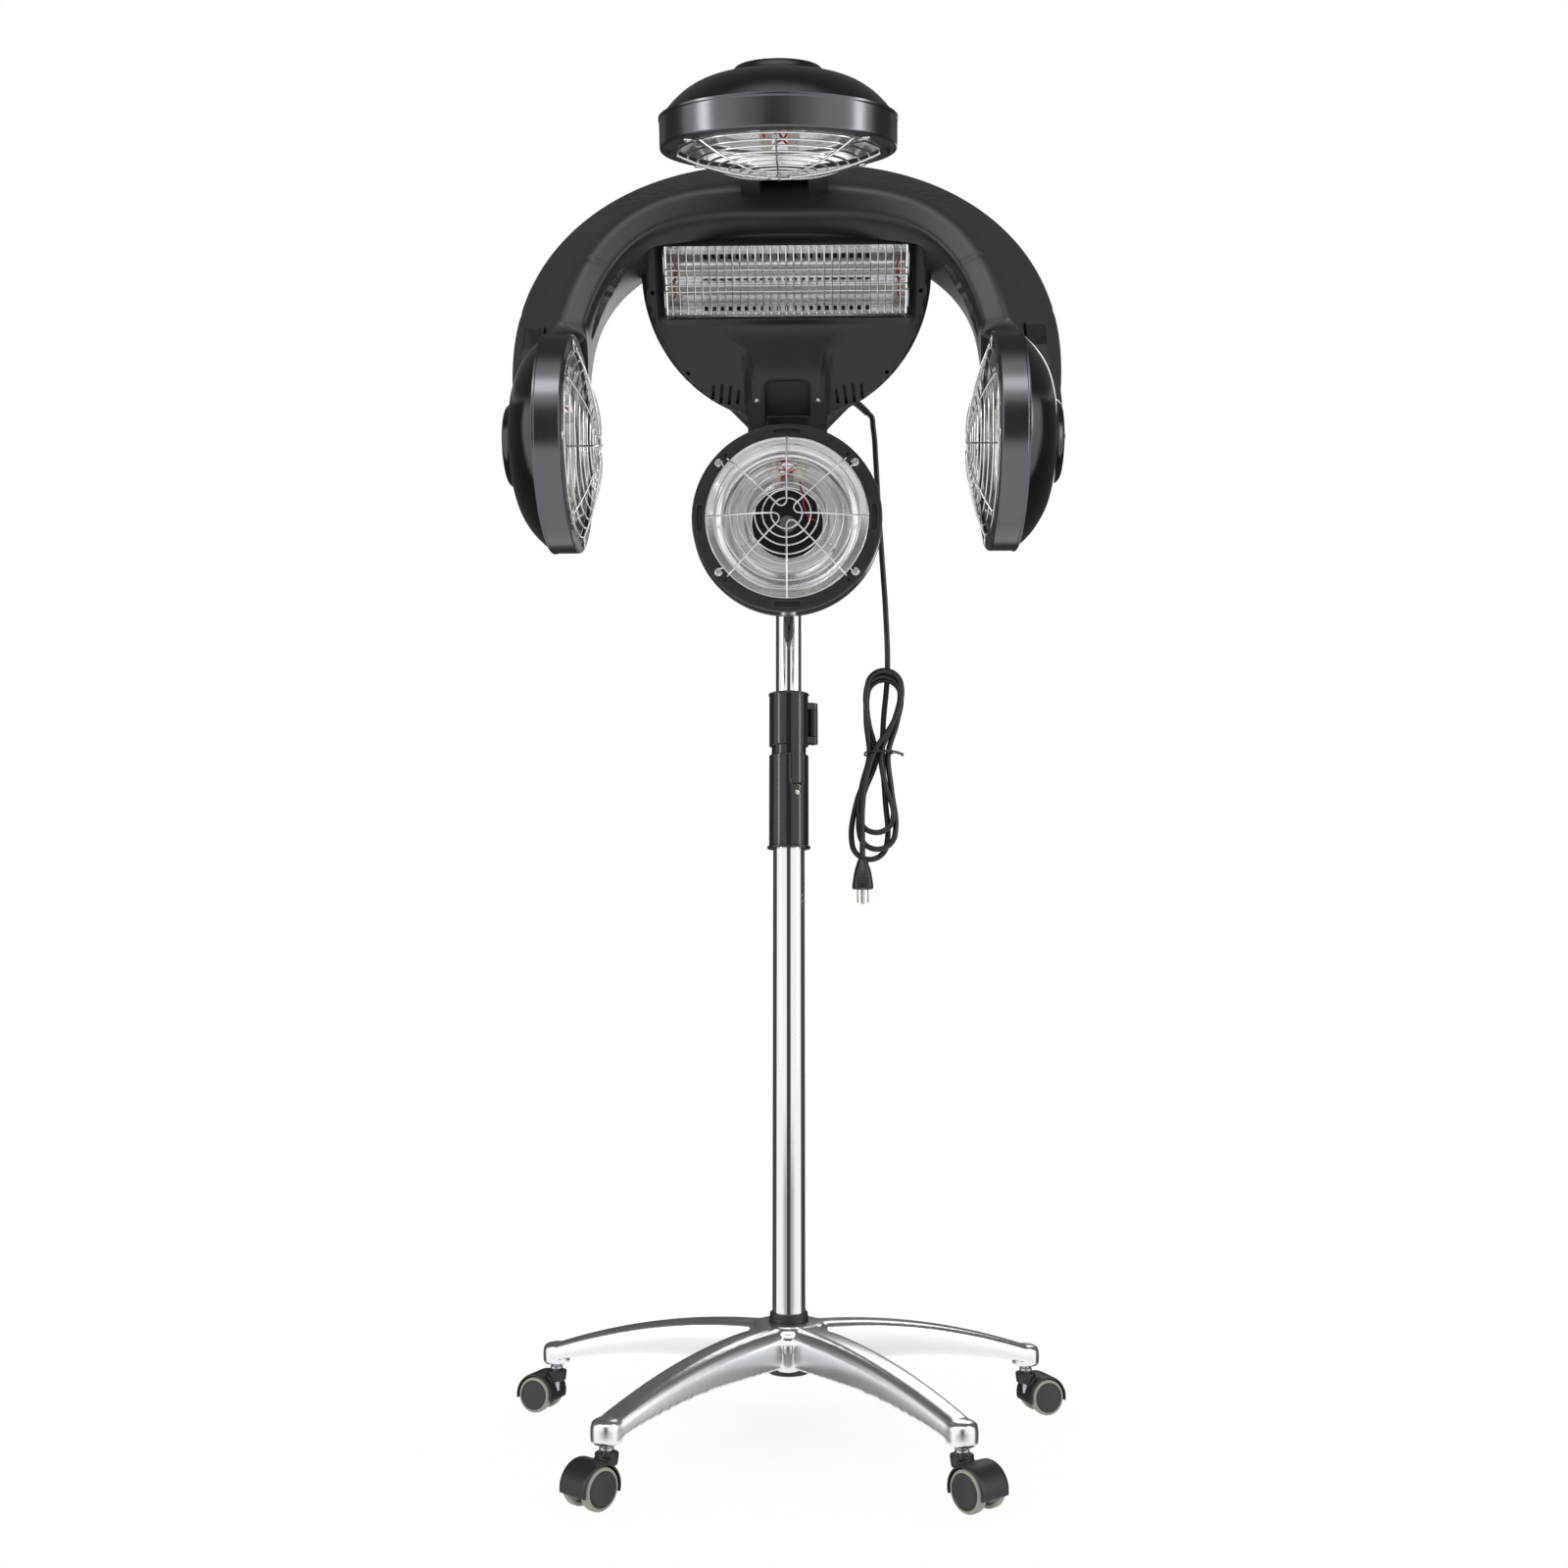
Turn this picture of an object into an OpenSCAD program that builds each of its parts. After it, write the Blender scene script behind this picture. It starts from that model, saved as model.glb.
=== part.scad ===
// Salon hood dryer on a rolling stand: four round lamp heads and one flat heater on an arched hood.
// The frame: +Z up, the client sits towards -Y, and the origin is on the floor under the column.

/* [Casters] */
// Diameter of a caster wheel over its tread
wheel_d = 41; // [37:1:50]
// Width of one of a caster's two wheels
wheel_w = 12; // [10:1:15]
// Radial thickness of the tread on a wheel
tread_t = 4; // [3:0.5:6]
// Clear width between a caster's two wheels
wheel_gap = 17; // [16:1:22]
// How far the axle trails behind the stem
caster_trail = 20; // [17:1:24]
// Diameter of the caster stem
stem_d = 10; // [8:0.5:11]
// Diameter of the wheel axle
axle_d = 6; // [5:0.5:8]
// Bare length of the stem between caster and leg
stem_gap = 7; // [4:1:12]

/* [Star base] */
// Radius of the circle on which the stems stand
stem_circle_r = 298; // [260:2:330]
// Number of legs
legs = 5; // [5:1:6]
// Height of the star base from the leg tips' underside to the top of the hub
star_h = 68; // [60:1:80]
// Radius of the hub
hub_r = 45; // [36:1:50]
// Width of a leg where it leaves the hub
leg_root_w = 50; // [44:1:56]
// Width of a leg over its stem
leg_tip_w = 33; // [28:1:38]
// Wall thickness of the cast legs
leg_wall = 5; // [4:0.5:7]

/* [Column] */
// Outer diameter of the lower tube
lower_tube_d = 38.1; // [36:0.1:42]
// Outer diameter of the upper tube
upper_tube_d = 32; // [28:0.5:33]
// Wall thickness of both tubes
tube_wall = 2; // [1.5:0.1:2.4]
// Length of the lower tube
lower_tube_l = 700; // [600:10:800]
// Length of the upper tube
upper_tube_l = 900; // [860:10:960]
// Height of the top of the upper tube above the top of the lower tube at rest
mast_out = 494; // [460:2:520]
// Radial clearance of the upper tube in its clamp
mast_clearance = 0.05; // [0.02:0.01:0.1]

/* [Clamp] */
// Outer diameter of the clamp's sleeve and collar
clamp_d = 48; // [46:0.5:54]
// How far the sleeve reaches down over the lower tube
sleeve_l = 110; // [80:5:140]
// Height of the clamp collar that grips the upper tube
collar_h = 77; // [60:1:90]
// Height of the groove between sleeve and collar
groove_h = 12; // [8:1:16]
// Height of the clamp lever
lever_h = 34; // [26:1:40]
// Diameter of the lever's pin
lever_pin_d = 6; // [5:0.5:7]

/* [Hood housing] */
// Height of the middle of the front cover
cover_z = 1312; // [1300:2:1324]
// How far the middle of the front cover is in front of the column's axis
cover_out = 140; // [130:2:150]
// Backwards lean of the front cover from the vertical
cover_lean = 35.3; // [33:0.1:37]
// Radius of the round part of the front cover
cover_r = 170; // [164:1:172]
// Depth of the front cover's rim
cover_rim = 16; // [12:1:20]
// Wall thickness of the plastic shells
shell = 3; // [2:0.5:4]

/* [Arms] */
// Half the clear width between the arms
arm_x = 218; // [212:1:224]
// Height of the underside of the arch
arch_z = 1379; // [1372:1:1386]
// Depth of the arch from front to back
arch_depth = 130; // [120:2:136]
// Depth of an arm at its end
arm_end_depth = 140; // [130:2:144]
// Thickness of the front edge of the arch and arms
arm_front_t = 42; // [34:1:44]
// Thickness of the back of the arch
arch_back_t = 112; // [96:1:114]
// Thickness of the back of an arm at its end
arm_back_t = 96; // [90:1:100]

/* [Lamp heads] */
// Outer diameter of a lamp head
head_d = 224; // [214:1:230]
// Depth of the band round a lamp head
band_depth = 28; // [24:1:32]
// Depth of the dome behind the band
dome_depth = 37; // [32:1:40]
// Diameter of the boss on the dome
boss_d = 85; // [70:1:94]
// Thickness of the boss on the dome
boss_t = 8; // [5:1:9]
// Radius of the lamp opening in the front ring
head_opening_r = 96; // [88:1:98]
// Radius of the middle of the ring lamp
lamp_r = 56; // [52:1:62]
// Diameter of the ring lamp's quartz tube
lamp_tube_d = 11; // [9:0.5:12]
// How far the guard bulges in front of the head
guard_bulge = 20; // [14:1:24]
// Thickness of the guard wires
wire_t = 2.2; // [1.8:0.1:2.8]
// Distance between the side heads' front faces
side_gap = 430; // [424:2:436]
// How far the side heads' middles are in front of the column's axis
side_out = 304; // [298:2:310]
// Height of the side heads' middles
side_z = 1073; // [1068:1:1078]
// Downward tilt of the top head's face from horizontal
top_tilt = 21.7; // [18:0.1:25]
// Downward pitch of the nape head
nape_tilt = 5; // [2:0.5:8]

/* [Head hinges] */
// Diameter of the hinge pins of the lamp heads
hinge_pin_d = 8; // [6:0.5:10]
// Distance of a hinge pin from the head's axis
hinge_r = 100; // [98:1:104]
// Distance of a hinge pin behind the head's face
hinge_back = 58; // [56:1:62]
// Clear width between the two struts of the top and nape brackets
strut_gap = 54; // [44:1:60]
// Width of one strut
strut_w = 21; // [16:1:24]
// Clear width between the cheeks at the end of an arm
cheek_gap = 25; // [20:1:30]
// Thickness of one cheek
cheek_t = 8; // [6:1:10]

/* [Flat heater] */
// Width of the heater's opening
heater_w = 284; // [276:2:288]
// Height of the heater's opening
heater_h = 82; // [76:1:86]
// Height of the heater's middle above the middle of the cover, along the cover
heater_up = 25.5; // [22:0.5:28]
// Distance between the two heater tubes
heater_tube_gap = 22; // [18:1:26]
// Diameter of the heater tubes
heater_tube_d = 11; // [9:0.5:12]
// Number of upright wires in the heater's guard
heater_wires = 33; // [25:2:37]

/* [Controls] */
// Diameter of the timer knob
knob_d = 34; // [26:1:38]
// Height of the timer knob
knob_h = 15; // [10:1:20]
// Width of the power rocker
rocker_w = 13; // [10:1:16]
// Length of the power rocker
rocker_l = 20; // [16:1:24]

/* [Mains cord] */
// Diameter of the cord
cord_d = 7; // [6:0.5:8]
// Width of the tied hank of cord
hank_w = 54; // [48:2:60]
// Thickness of the tied hank of cord
hank_t = 29; // [28:1:32]
// Diameter of the plug's body
plug_d = 26; // [22:1:30]
// Length of the plug's body
plug_l = 38; // [32:1:44]

/* [Hidden] */
$fn = 64;
eps = 0.01;
seat = 0.3;           // gap left between curved faces that would touch
running = 0.05;       // radial clearance of a pin in its bore

HEADS = ["top", "nape", "left", "right"];
HEAD_PIECES = ["dome", "bezel", "reflector", "lamp", "guard"];
CASTERS = [for (i = [1:5]) str("caster_", i)];
CASTER_PIECES = ["fork", "wheels", "treads"];

// Heights that follow from the sizes above
axle_z = wheel_d / 2;
fork_top_z = wheel_d + 8;
leg_boss_z = fork_top_z + stem_gap;
hub_top_z = leg_boss_z + star_h;
hub_bottom_z = leg_boss_z + 17;
tube_foot_z = leg_boss_z + 25;
tube_top_z = tube_foot_z + lower_tube_l;
sleeve_top_z = tube_top_z + 4;
sleeve_foot_z = tube_top_z - sleeve_l;
collar_z = sleeve_top_z + groove_h;
collar_top_z = collar_z + collar_h - groove_h;
mast_top_z = tube_top_z + mast_out;
mast_seat_z = 1284;   // height of the upper tube's top for which the hood's own heights are given

// The hood and all that it carries, moved with the top of the upper tube
module on_mast() {
    translate([0, 0, mast_top_z - mast_seat_z])
        children();
}

// The casters' rest swivels, as the way each axle trails, one for each leg from the back one round
caster_turns = [90, 160, 229, 311, 20];
leg_turns = [for (i = [0:legs - 1]) 90 + i * 360 / legs];

function unit(v) = v / norm(v);
function sgn_pow(v, e) = sign(v) * pow(abs(v), e);

// Closed skin through rings of points that all have the same number of points
module skin(rings) {
    m = len(rings[0]);
    last = len(rings) - 1;
    points = [for (ring = rings) each ring];
    walls = [for (i = [0:last - 1]) for (j = [0:m - 1])
        each [[i * m + j, i * m + (j + 1) % m, (i + 1) * m + (j + 1) % m],
              [i * m + j, (i + 1) * m + (j + 1) % m, (i + 1) * m + j]]];
    first_cap = [for (j = [m - 1:-1:0]) j];
    last_cap = [for (j = [0:m - 1]) last * m + j];
    polyhedron(points = points, faces = concat([first_cap], walls, [last_cap]), convexity = 6);
}

// Ring with a rectangular section r_in to r_out, from z0 to z1
module band(r_in, r_out, z0, z1) {
    rotate_extrude()
        translate([r_in, z0])
            square([r_out - r_in, z1 - z0]);
}

// ---------- casters ----------

// A caster's pieces are drawn with the stem along Z over the origin and the axle trailing along +X
module at_caster(i) {
    rotate([0, 0, leg_turns[i]])
        translate([stem_circle_r, 0, 0])
            rotate([0, 0, caster_turns[i] - leg_turns[i]])
                children();
}

module axle_cylinder(r, l) {
    translate([caster_trail, 0, axle_z])
        rotate([90, 0, 0])
            cylinder(r = r, h = l, center = true);
}

caster_w = wheel_gap + 2 * wheel_w;
fork_rim_r = wheel_d / 2 + 4;
fork_ring_r = stem_d / 2 + 9.5;
fork_ring_h = 6;
fork_web_t = wheel_gap - 1;

module caster_fork() {
    color("#242526") {
        difference() {
            hull() {
                translate([0, 0, fork_top_z - fork_ring_h])
                    cylinder(r = fork_ring_r, h = fork_ring_h, $fn = 32);
                translate([caster_trail, 0, axle_z])
                    rotate([90, 0, 0])
                        cylinder(r = fork_rim_r, h = caster_w - 2, center = true, $fn = 32);
            }
            for (side = [-1, 1])
                translate([0, side * (caster_w + fork_web_t) / 2, 0])
                    axle_cylinder(wheel_d / 2 + 1.2, caster_w);
            translate([caster_trail, 0, axle_z])
                rotate([0, 14, 0])
                    translate([-3 * wheel_d, -caster_w, -2 * wheel_d - 10])
                        cube([6 * wheel_d, 2 * caster_w, 2 * wheel_d]);
            axle_cylinder(axle_d / 2 + running, caster_w);
            translate([0, 0, axle_z + 8])
                cylinder(r = stem_d / 2 + running, h = fork_top_z);
        }
    }
}

module caster_wheels() {
    hub_r_out = wheel_d / 2 - tread_t;
    color("#2b2c2d") {
        axle_cylinder(axle_d / 2, caster_w - 2);
        for (side = [-1, 1])
            translate([caster_trail, side * wheel_gap / 2, axle_z])
                rotate([-90 * side, 0, 0])
                    rotate_extrude()
                        polygon([[0, 0], [hub_r_out, 0], [hub_r_out, wheel_w - 1.5], [hub_r_out - 2, wheel_w - 0.5],
                                 [axle_d, wheel_w], [0, wheel_w]]);
    }
}

module caster_treads() {
    r_in = wheel_d / 2 - tread_t;
    r_out = wheel_d / 2;
    color("#a0a596")
        for (side = [-1, 1])
            translate([caster_trail, side * wheel_gap / 2, axle_z])
                rotate([-90 * side, 0, 0])
                    rotate_extrude()
                        polygon([[r_in, 0], [r_out - 1.5, 0], [r_out, 2], [r_out, wheel_w - 4],
                                 [r_out - 2, wheel_w - 1.5], [r_in, wheel_w - 1.5]]);
}

module caster_piece(piece) {
    if (piece == "fork") caster_fork();
    if (piece == "wheels") caster_wheels();
    if (piece == "treads") caster_treads();
}

stem_top_z = leg_boss_z + 14;

module caster_stems() {
    color("#b9bcc0")
        for (i = [0:4])
            rotate([0, 0, leg_turns[i]])
                translate([stem_circle_r, 0, axle_z + 8])
                    cylinder(r = stem_d / 2, h = stem_top_z - axle_z - 8);
}

// ---------- star base ----------

boss_r = leg_tip_w / 2;
leg_drop = 44;        // fall of a leg's back from the hub to the stem
leg_top_z = hub_top_z - leg_drop;
arch_from = 118;      // distance from the column at which the underside starts to fall

// Height of a leg's back at distance r from the column
function leg_back(r) = hub_top_z - 1 - leg_drop * pow(max(r - 40, 0) / (stem_circle_r - 40), 2);
// Height of a leg's underside at distance r from the column
function leg_belly(r) = leg_boss_z + 25.5 - 16 * pow(max(r - arch_from, 0) / (stem_circle_r - 23 - arch_from), 2);

// Side outline of a leg; drop lowers its back and cut shortens its end
module leg_outline(drop, cut, belly) {
    reach = stem_circle_r + boss_r - cut;
    steps = 10;
    backs = [for (i = [0:steps]) let (r = reach * i / steps) [r, leg_back(min(r, stem_circle_r + 6)) - drop]];
    bellies = [for (i = [steps:-1:0]) let (r = (reach - 12) * i / steps) [r, leg_belly(r) - belly]];
    polygon(concat(backs, [[reach, leg_top_z - 12 - drop]], bellies));
}

// Outline of a leg from above; side takes the wall off both sides
module leg_plan(side, reach) {
    tip = leg_tip_w / 2 - 1 - side;
    polygon([[0, -leg_root_w / 2 + side], [hub_r - 3, -leg_root_w / 2 + side], [reach, -tip],
             [reach, tip], [hub_r - 3, leg_root_w / 2 - side], [0, leg_root_w / 2 - side]]);
}

module leg() {
    intersection() {
        rotate([90, 0, 0])
            linear_extrude(leg_root_w + 2, center = true)
                leg_outline(0, -3, 0);
        union() {
            linear_extrude(hub_top_z + 1)
                leg_plan(0, stem_circle_r);
            translate([stem_circle_r, 0, 0])
                cylinder(r = boss_r, h = hub_top_z);
        }
    }
    translate([stem_circle_r, 0, leg_boss_z])
        cylinder(r = boss_r - 1, h = leg_top_z - leg_boss_z - 8);
}

module leg_hollow() {
    intersection() {
        rotate([90, 0, 0])
            linear_extrude(leg_root_w, center = true)
                leg_outline(leg_wall, boss_r, 20);
        translate([hub_r + leg_wall, 0, 0])
            linear_extrude(hub_top_z)
                translate([-hub_r - leg_wall, 0])
                    intersection() {
                        leg_plan(leg_wall, stem_circle_r);
                        translate([hub_r + leg_wall, -leg_root_w])
                            square([stem_circle_r - hub_r - boss_r - 2 * leg_wall, 2 * leg_root_w]);
                    }
    }
}

module star_base() {
    color("#c3c6ca")
        difference() {
            union() {
                translate([0, 0, hub_bottom_z])
                    cylinder(r = hub_r, h = hub_top_z - hub_bottom_z);
                for (turn = leg_turns)
                    rotate([0, 0, turn])
                        leg();
            }
            for (turn = leg_turns)
                rotate([0, 0, turn]) {
                    leg_hollow();
                    translate([stem_circle_r, 0, leg_boss_z - 1])
                        cylinder(r = stem_d / 2, h = stem_top_z - leg_boss_z + 1);
                }
            translate([0, 0, tube_foot_z])
                cylinder(r = lower_tube_d / 2, h = hub_top_z);
            translate([0, 0, hub_bottom_z - 1])
                cylinder(r = 14, h = hub_top_z);
        }
}

// The collar round the foot of the tube and the cap under the hub
module hub_trim() {
    color("#1c1d1e") {
        band(lower_tube_d / 2, lower_tube_d / 2 + 3.8, hub_top_z, hub_top_z + 10);
        translate([0, 0, hub_bottom_z - 6])
            cylinder(r = 24.5, h = 6);
        translate([0, 0, hub_bottom_z - eps])
            cylinder(r = 14, h = tube_foot_z - hub_bottom_z + eps);
    }
}

// ---------- column ----------

module lower_tube() {
    color("#dfe1e4")
        band(lower_tube_d / 2 - tube_wall, lower_tube_d / 2, tube_foot_z, tube_top_z);
}

module upper_tube() {
    color("#dfe1e4")
        band(upper_tube_d / 2 - tube_wall, upper_tube_d / 2, mast_top_z - upper_tube_l, mast_top_z);
}

key_w = 17;           // width of the tongue that keys the collar to the sleeve
key_l = 36;           // how far the tongue reaches down into the sleeve
key_turn = -63;       // where the tongue is round the column
mast_bore_r = upper_tube_d / 2 + mast_clearance;
groove_r = clamp_d / 2 - 3;

// The part of the clamp's wall that the tongue takes up, with a clearance all round
module key_window(clearance) {
    rotate([0, 0, key_turn])
        translate([lower_tube_d / 2 + 1, -key_w / 2 - clearance, sleeve_top_z - key_l - clearance])
            cube([clamp_d, key_w + 2 * clearance, key_l + 2 * clearance]);
}

module clamp_sleeve() {
    color("#1d1e20")
        difference() {
            union() {
                band(lower_tube_d / 2, clamp_d / 2, sleeve_foot_z, tube_top_z);
                band(lower_tube_d / 2, clamp_d / 2 + 2, sleeve_foot_z, sleeve_foot_z + 4);
                band(mast_bore_r + 0.5, clamp_d / 2, tube_top_z, sleeve_top_z);
            }
            key_window(seat);
        }
}

lever_turn = 20;      // where the lever's pin is round the column
lever_pin_r = clamp_d / 2 + 7;
lever_cam_r = lever_pin_d / 2 + 3.4;
lever_z = collar_z + 13;
ear_t = 8;            // thickness of the two ears that hold the pin
lever_r = clamp_d / 2 + 1.5;
lever_t = 5;          // thickness of the lever's handle

module at_lever_pin(z) {
    rotate([0, 0, lever_turn])
        translate([lever_pin_r, 0, z])
            children();
}

// The collar that squeezes the upper tube, with the ears and the pin of its lever
module clamp_collar() {
    color("#1d1e20") {
        difference() {
            union() {
                band(mast_bore_r, groove_r, sleeve_top_z, collar_z);
                band(mast_bore_r, clamp_d / 2, collar_z, collar_top_z);
                for (z = [lever_z - seat - ear_t, lever_z + lever_h + seat])
                    rotate([0, 0, lever_turn])
                        translate([clamp_d / 2 - 4, -lever_cam_r, z])
                            cube([lever_pin_r - clamp_d / 2 + 4, 2 * lever_cam_r, ear_t]);
                for (z = [lever_z - seat - ear_t, lever_z + lever_h + seat])
                    at_lever_pin(z)
                        cylinder(r = lever_cam_r, h = ear_t);
            }
            rotate([0, 0, lever_turn + 45])
                translate([0, -1, collar_z])
                    cube([clamp_d, 2, collar_h]);
        }
        intersection() {
            band(lower_tube_d / 2 + 1, clamp_d / 2, sleeve_top_z - key_l, collar_z + eps);
            key_window(0);
        }
        at_lever_pin(lever_z - seat - ear_t)
            cylinder(r = lever_pin_d / 2, h = lever_h + 2 * (seat + ear_t));
    }
}

module clamp_lever() {
    color("#141516")
        difference() {
            union() {
                at_lever_pin(lever_z)
                    cylinder(r = lever_cam_r, h = lever_h);
                intersection() {
                    band(lever_r, lever_r + lever_t, lever_z + 2, lever_z + lever_h - 2);
                    rotate([0, 0, lever_turn + 2])
                        translate([0, 0, lever_z])
                            cube([2 * clamp_d, 2 * clamp_d, lever_h]);
                }
            }
            at_lever_pin(lever_z - 1)
                cylinder(r = lever_pin_d / 2 + running, h = lever_h + 2);
        }
}

// ---------- lamp heads ----------

// A head's pieces are drawn facing +Z with the face at z = 0 and the hinge towards +Y
head_r = head_d / 2;
top_face = [0, -489, 1289];
nape_face = [0, -116, 1058];
side_face = [side_gap / 2, -side_out, side_z];
side_hinge_turn = 23; // how far back of straight up a side head's hinge is

module at_head(name) {
    if (name == "top")
        translate(top_face)
            rotate([180 - top_tilt, 0, 180])
                children();
    if (name == "nape")
        translate(nape_face)
            rotate([90 + nape_tilt, 0, 0])
                children();
    if (name == "right")
        translate(side_face)
            rotate([90 - side_hinge_turn, 0, 0])
                rotate([0, -90, 0])
                    children();
    if (name == "left")
        mirror([1, 0, 0])
            at_head("right")
                children();
}

dome_r = head_r - 2;
lug_reach = 10;       // radius of a lug round its pin

// Distance of the dome's outside behind the band at radius r, for a dome that is thinner by wall
function dome_at(r, wall) = (dome_depth - wall) * (1 - pow(r / (dome_r - wall), 4));

module dome_profile(wall) {
    rim = dome_r - wall;
    edge = boss_d / 2 - wall;
    arc = [for (i = [0:12]) let (r = rim - (rim - edge) * i / 12) [r, -band_depth - dome_at(r, wall)]];
    polygon(concat(arc, [[0, -band_depth - dome_at(edge, wall)], [0, -band_depth]]));
}

// Half the width of a head's lug: the side heads hang between cheeks and the others between struts
function lug_half(name) = (name == "left" || name == "right" ? cheek_gap : strut_gap) / 2 - seat;

module head_dome(name) {
    half = lug_half(name);
    color("#0e0f10")
        difference() {
            union() {
                difference() {
                    union() {
                        rotate_extrude()
                            dome_profile(0);
                        translate([0, 0, -band_depth - dome_depth - boss_t])
                            cylinder(r1 = boss_d / 2 - 2, r2 = boss_d / 2, h = boss_t + 1);
                    }
                    translate([0, 0, eps])
                        rotate_extrude()
                            dome_profile(2.5);
                }
                translate([-half, hinge_r - 20, -hinge_back - 4])
                    cube([2 * half, 20, hinge_back - band_depth - 10]);
                translate([0, hinge_r, -hinge_back])
                    rotate([0, 90, 0])
                        cylinder(r = lug_reach, h = 2 * half, center = true);
            }
            translate([0, hinge_r, -hinge_back])
                rotate([0, 90, 0])
                    cylinder(r = hinge_pin_d / 2 + running, h = 3 * head_r, center = true);
        }
}

module head_bezel() {
    slot_r = (head_opening_r + head_r) / 2 - 1;
    color("#1b1c1e")
        difference() {
            rotate_extrude()
                polygon([[head_opening_r, 0], [head_r - 1.5, 0], [head_r, -1.5], [head_r, -band_depth],
                         [head_r - 8, -band_depth], [head_r - 8, -band_depth + 2.5], [head_r - 2.5, -band_depth + 2.5],
                         [head_r - 2.5, -3.5], [head_opening_r, -3.5]]);
            for (turn = [0:90:270])
                rotate([0, 0, turn])
                    translate([slot_r - 2, -15, -5])
                        cube([4, 30, 8]);
        }
}

terminal_gap = 14;    // half the angle left open in the ring lamp for its terminals
lamp_z = -16;
reflector_t = 1.2;

// Height of the reflector's front surface at its steps, as [radius, height]
reflector_steps = [[head_opening_r + 8, -3.5], [head_opening_r - 2, -3.5], [84, -14], [76, -15], [70, -25],
                   [47, -31], [45, -29], [42, -29]];

module head_reflector() {
    back = [for (i = [len(reflector_steps) - 1:-1:0]) reflector_steps[i] - [0, reflector_t]];
    color("#e4e6e8") {
        difference() {
            rotate_extrude()
                polygon(concat(reflector_steps, back));
            translate([-20, 48, -40])
                cube([40, 20, 25]);
        }
        for (turn = [210, 330])
            rotate([0, 0, turn])
                translate([lamp_r, 0, -30])
                    cylinder(r = 2.5, h = 30 + lamp_z - lamp_tube_d / 2);
    }
}

module head_lamp() {
    color("#e9e4da") {
        rotate([0, 0, 90 + terminal_gap])
            rotate_extrude(angle = 360 - 2 * terminal_gap)
                translate([lamp_r, lamp_z])
                    circle(d = lamp_tube_d);
        for (side = [-1, 1])
            rotate([0, 0, 90 + side * terminal_gap])
                translate([lamp_r, 0, lamp_z - 19])
                    cylinder(d = lamp_tube_d + 1, h = 25);
    }
}

guard_rings = [18, 28, 37, 47, 57, 66, 76, 85.5, 95];
guard_edge = guard_rings[len(guard_rings) - 1];
guard_sphere = (guard_edge * guard_edge + guard_bulge * guard_bulge) / (2 * guard_bulge);
guard_foot_r = (head_opening_r + head_r) / 2 - 1;
guard_eye_r = 4;
guard_feet = [39, 141, 219, 321];     // angles of the guard's four screwed feet

// Height of the middle of the guard's wires at radius r
function guard_z(r) = guard_bulge - guard_sphere + sqrt(guard_sphere * guard_sphere - r * r) + wire_t / 2;

module head_guard() {
    color("#d4d7da") {
        for (r = guard_rings)
            band(r - wire_t / 2, r + wire_t / 2, guard_z(r) - wire_t / 2, guard_z(r) + wire_t / 2);
        for (turn = [0:45:315])
            rotate([0, 0, turn])
                intersection() {
                    rotate([90, 0, 0])
                        linear_extrude(wire_t - 0.4, center = true)
                            translate([0, guard_bulge - guard_sphere + wire_t / 2])
                                difference() {
                                    circle(r = guard_sphere + wire_t / 2 - 0.2, $fn = 128);
                                    circle(r = guard_sphere - wire_t / 2 + 0.2, $fn = 128);
                                }
                    translate([guard_rings[0] - 1, -wire_t, 0])
                        cube([guard_edge - guard_rings[0] + 1, 2 * wire_t, guard_bulge + wire_t]);
                }
        for (turn = guard_feet)
            rotate([0, 0, turn]) {
                translate([guard_edge, -wire_t / 2, 0])
                    cube([guard_foot_r - guard_edge, wire_t, wire_t]);
                translate([guard_foot_r, 0, 0])
                    cylinder(r = guard_eye_r, h = wire_t);
            }
    }
}

module head_piece(name, piece) {
    if (piece == "dome") head_dome(name);
    if (piece == "bezel") head_bezel();
    if (piece == "reflector") head_reflector();
    if (piece == "lamp") head_lamp();
    if (piece == "guard") head_guard();
}

// Places of the three kinds of hinge pin, worked out from the heads
function top_point(up, back) = top_face + up * [0, cos(top_tilt), sin(top_tilt)] + back * [0, -sin(top_tilt), cos(top_tilt)];
function nape_point(up, back) = nape_face + up * [0, -sin(nape_tilt), cos(nape_tilt)] + back * [0, cos(nape_tilt), sin(nape_tilt)];
top_pin = top_point(hinge_r, hinge_back);
nape_pin = nape_point(hinge_r, hinge_back);
strut_reach = strut_gap / 2 + strut_w;
cheek_reach = cheek_gap / 2 + cheek_t;

module hinge_pins() {
    color("#8d9094") {
        for (pin = [top_pin, nape_pin])
            translate(pin)
                rotate([0, 90, 0])
                    cylinder(d = hinge_pin_d, h = 2 * strut_reach, center = true);
        for (name = ["left", "right"])
            at_head(name)
                translate([0, hinge_r, -hinge_back])
                    rotate([0, 90, 0])
                        cylinder(d = hinge_pin_d, h = 2 * cheek_reach, center = true);
    }
}

// ---------- arms ----------

arm_end_z = 1147;     // height at which the arm's curve would be upright
arm_power = 2.9;      // power of the curve: 2 is an ellipse, more is squarer
arch_y = -171;        // middle of the arch, seen from above
arm_lean = 0.28;      // how far an arm comes forward for each unit that it drops
arm_cut = 84;         // angle along the curve at which an arm ends
arm_points = 28;
arm_angles = [0, 5, 11, 18, 25, 32, 39, 46, 53, 60, 67, 73, 78, 82, arm_cut];

function arm_mid(a) =
    let (drop = (arch_z - arm_end_z) * (1 - pow(cos(a), 2 / arm_power)))
    [arm_x * pow(sin(a), 2 / arm_power), arch_y - arm_lean * drop, arch_z - drop];
function arm_way(a) = a < 1 ? [1, 0, 0] : unit(arm_mid(a + 0.5) - arm_mid(a - 0.5));
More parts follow.
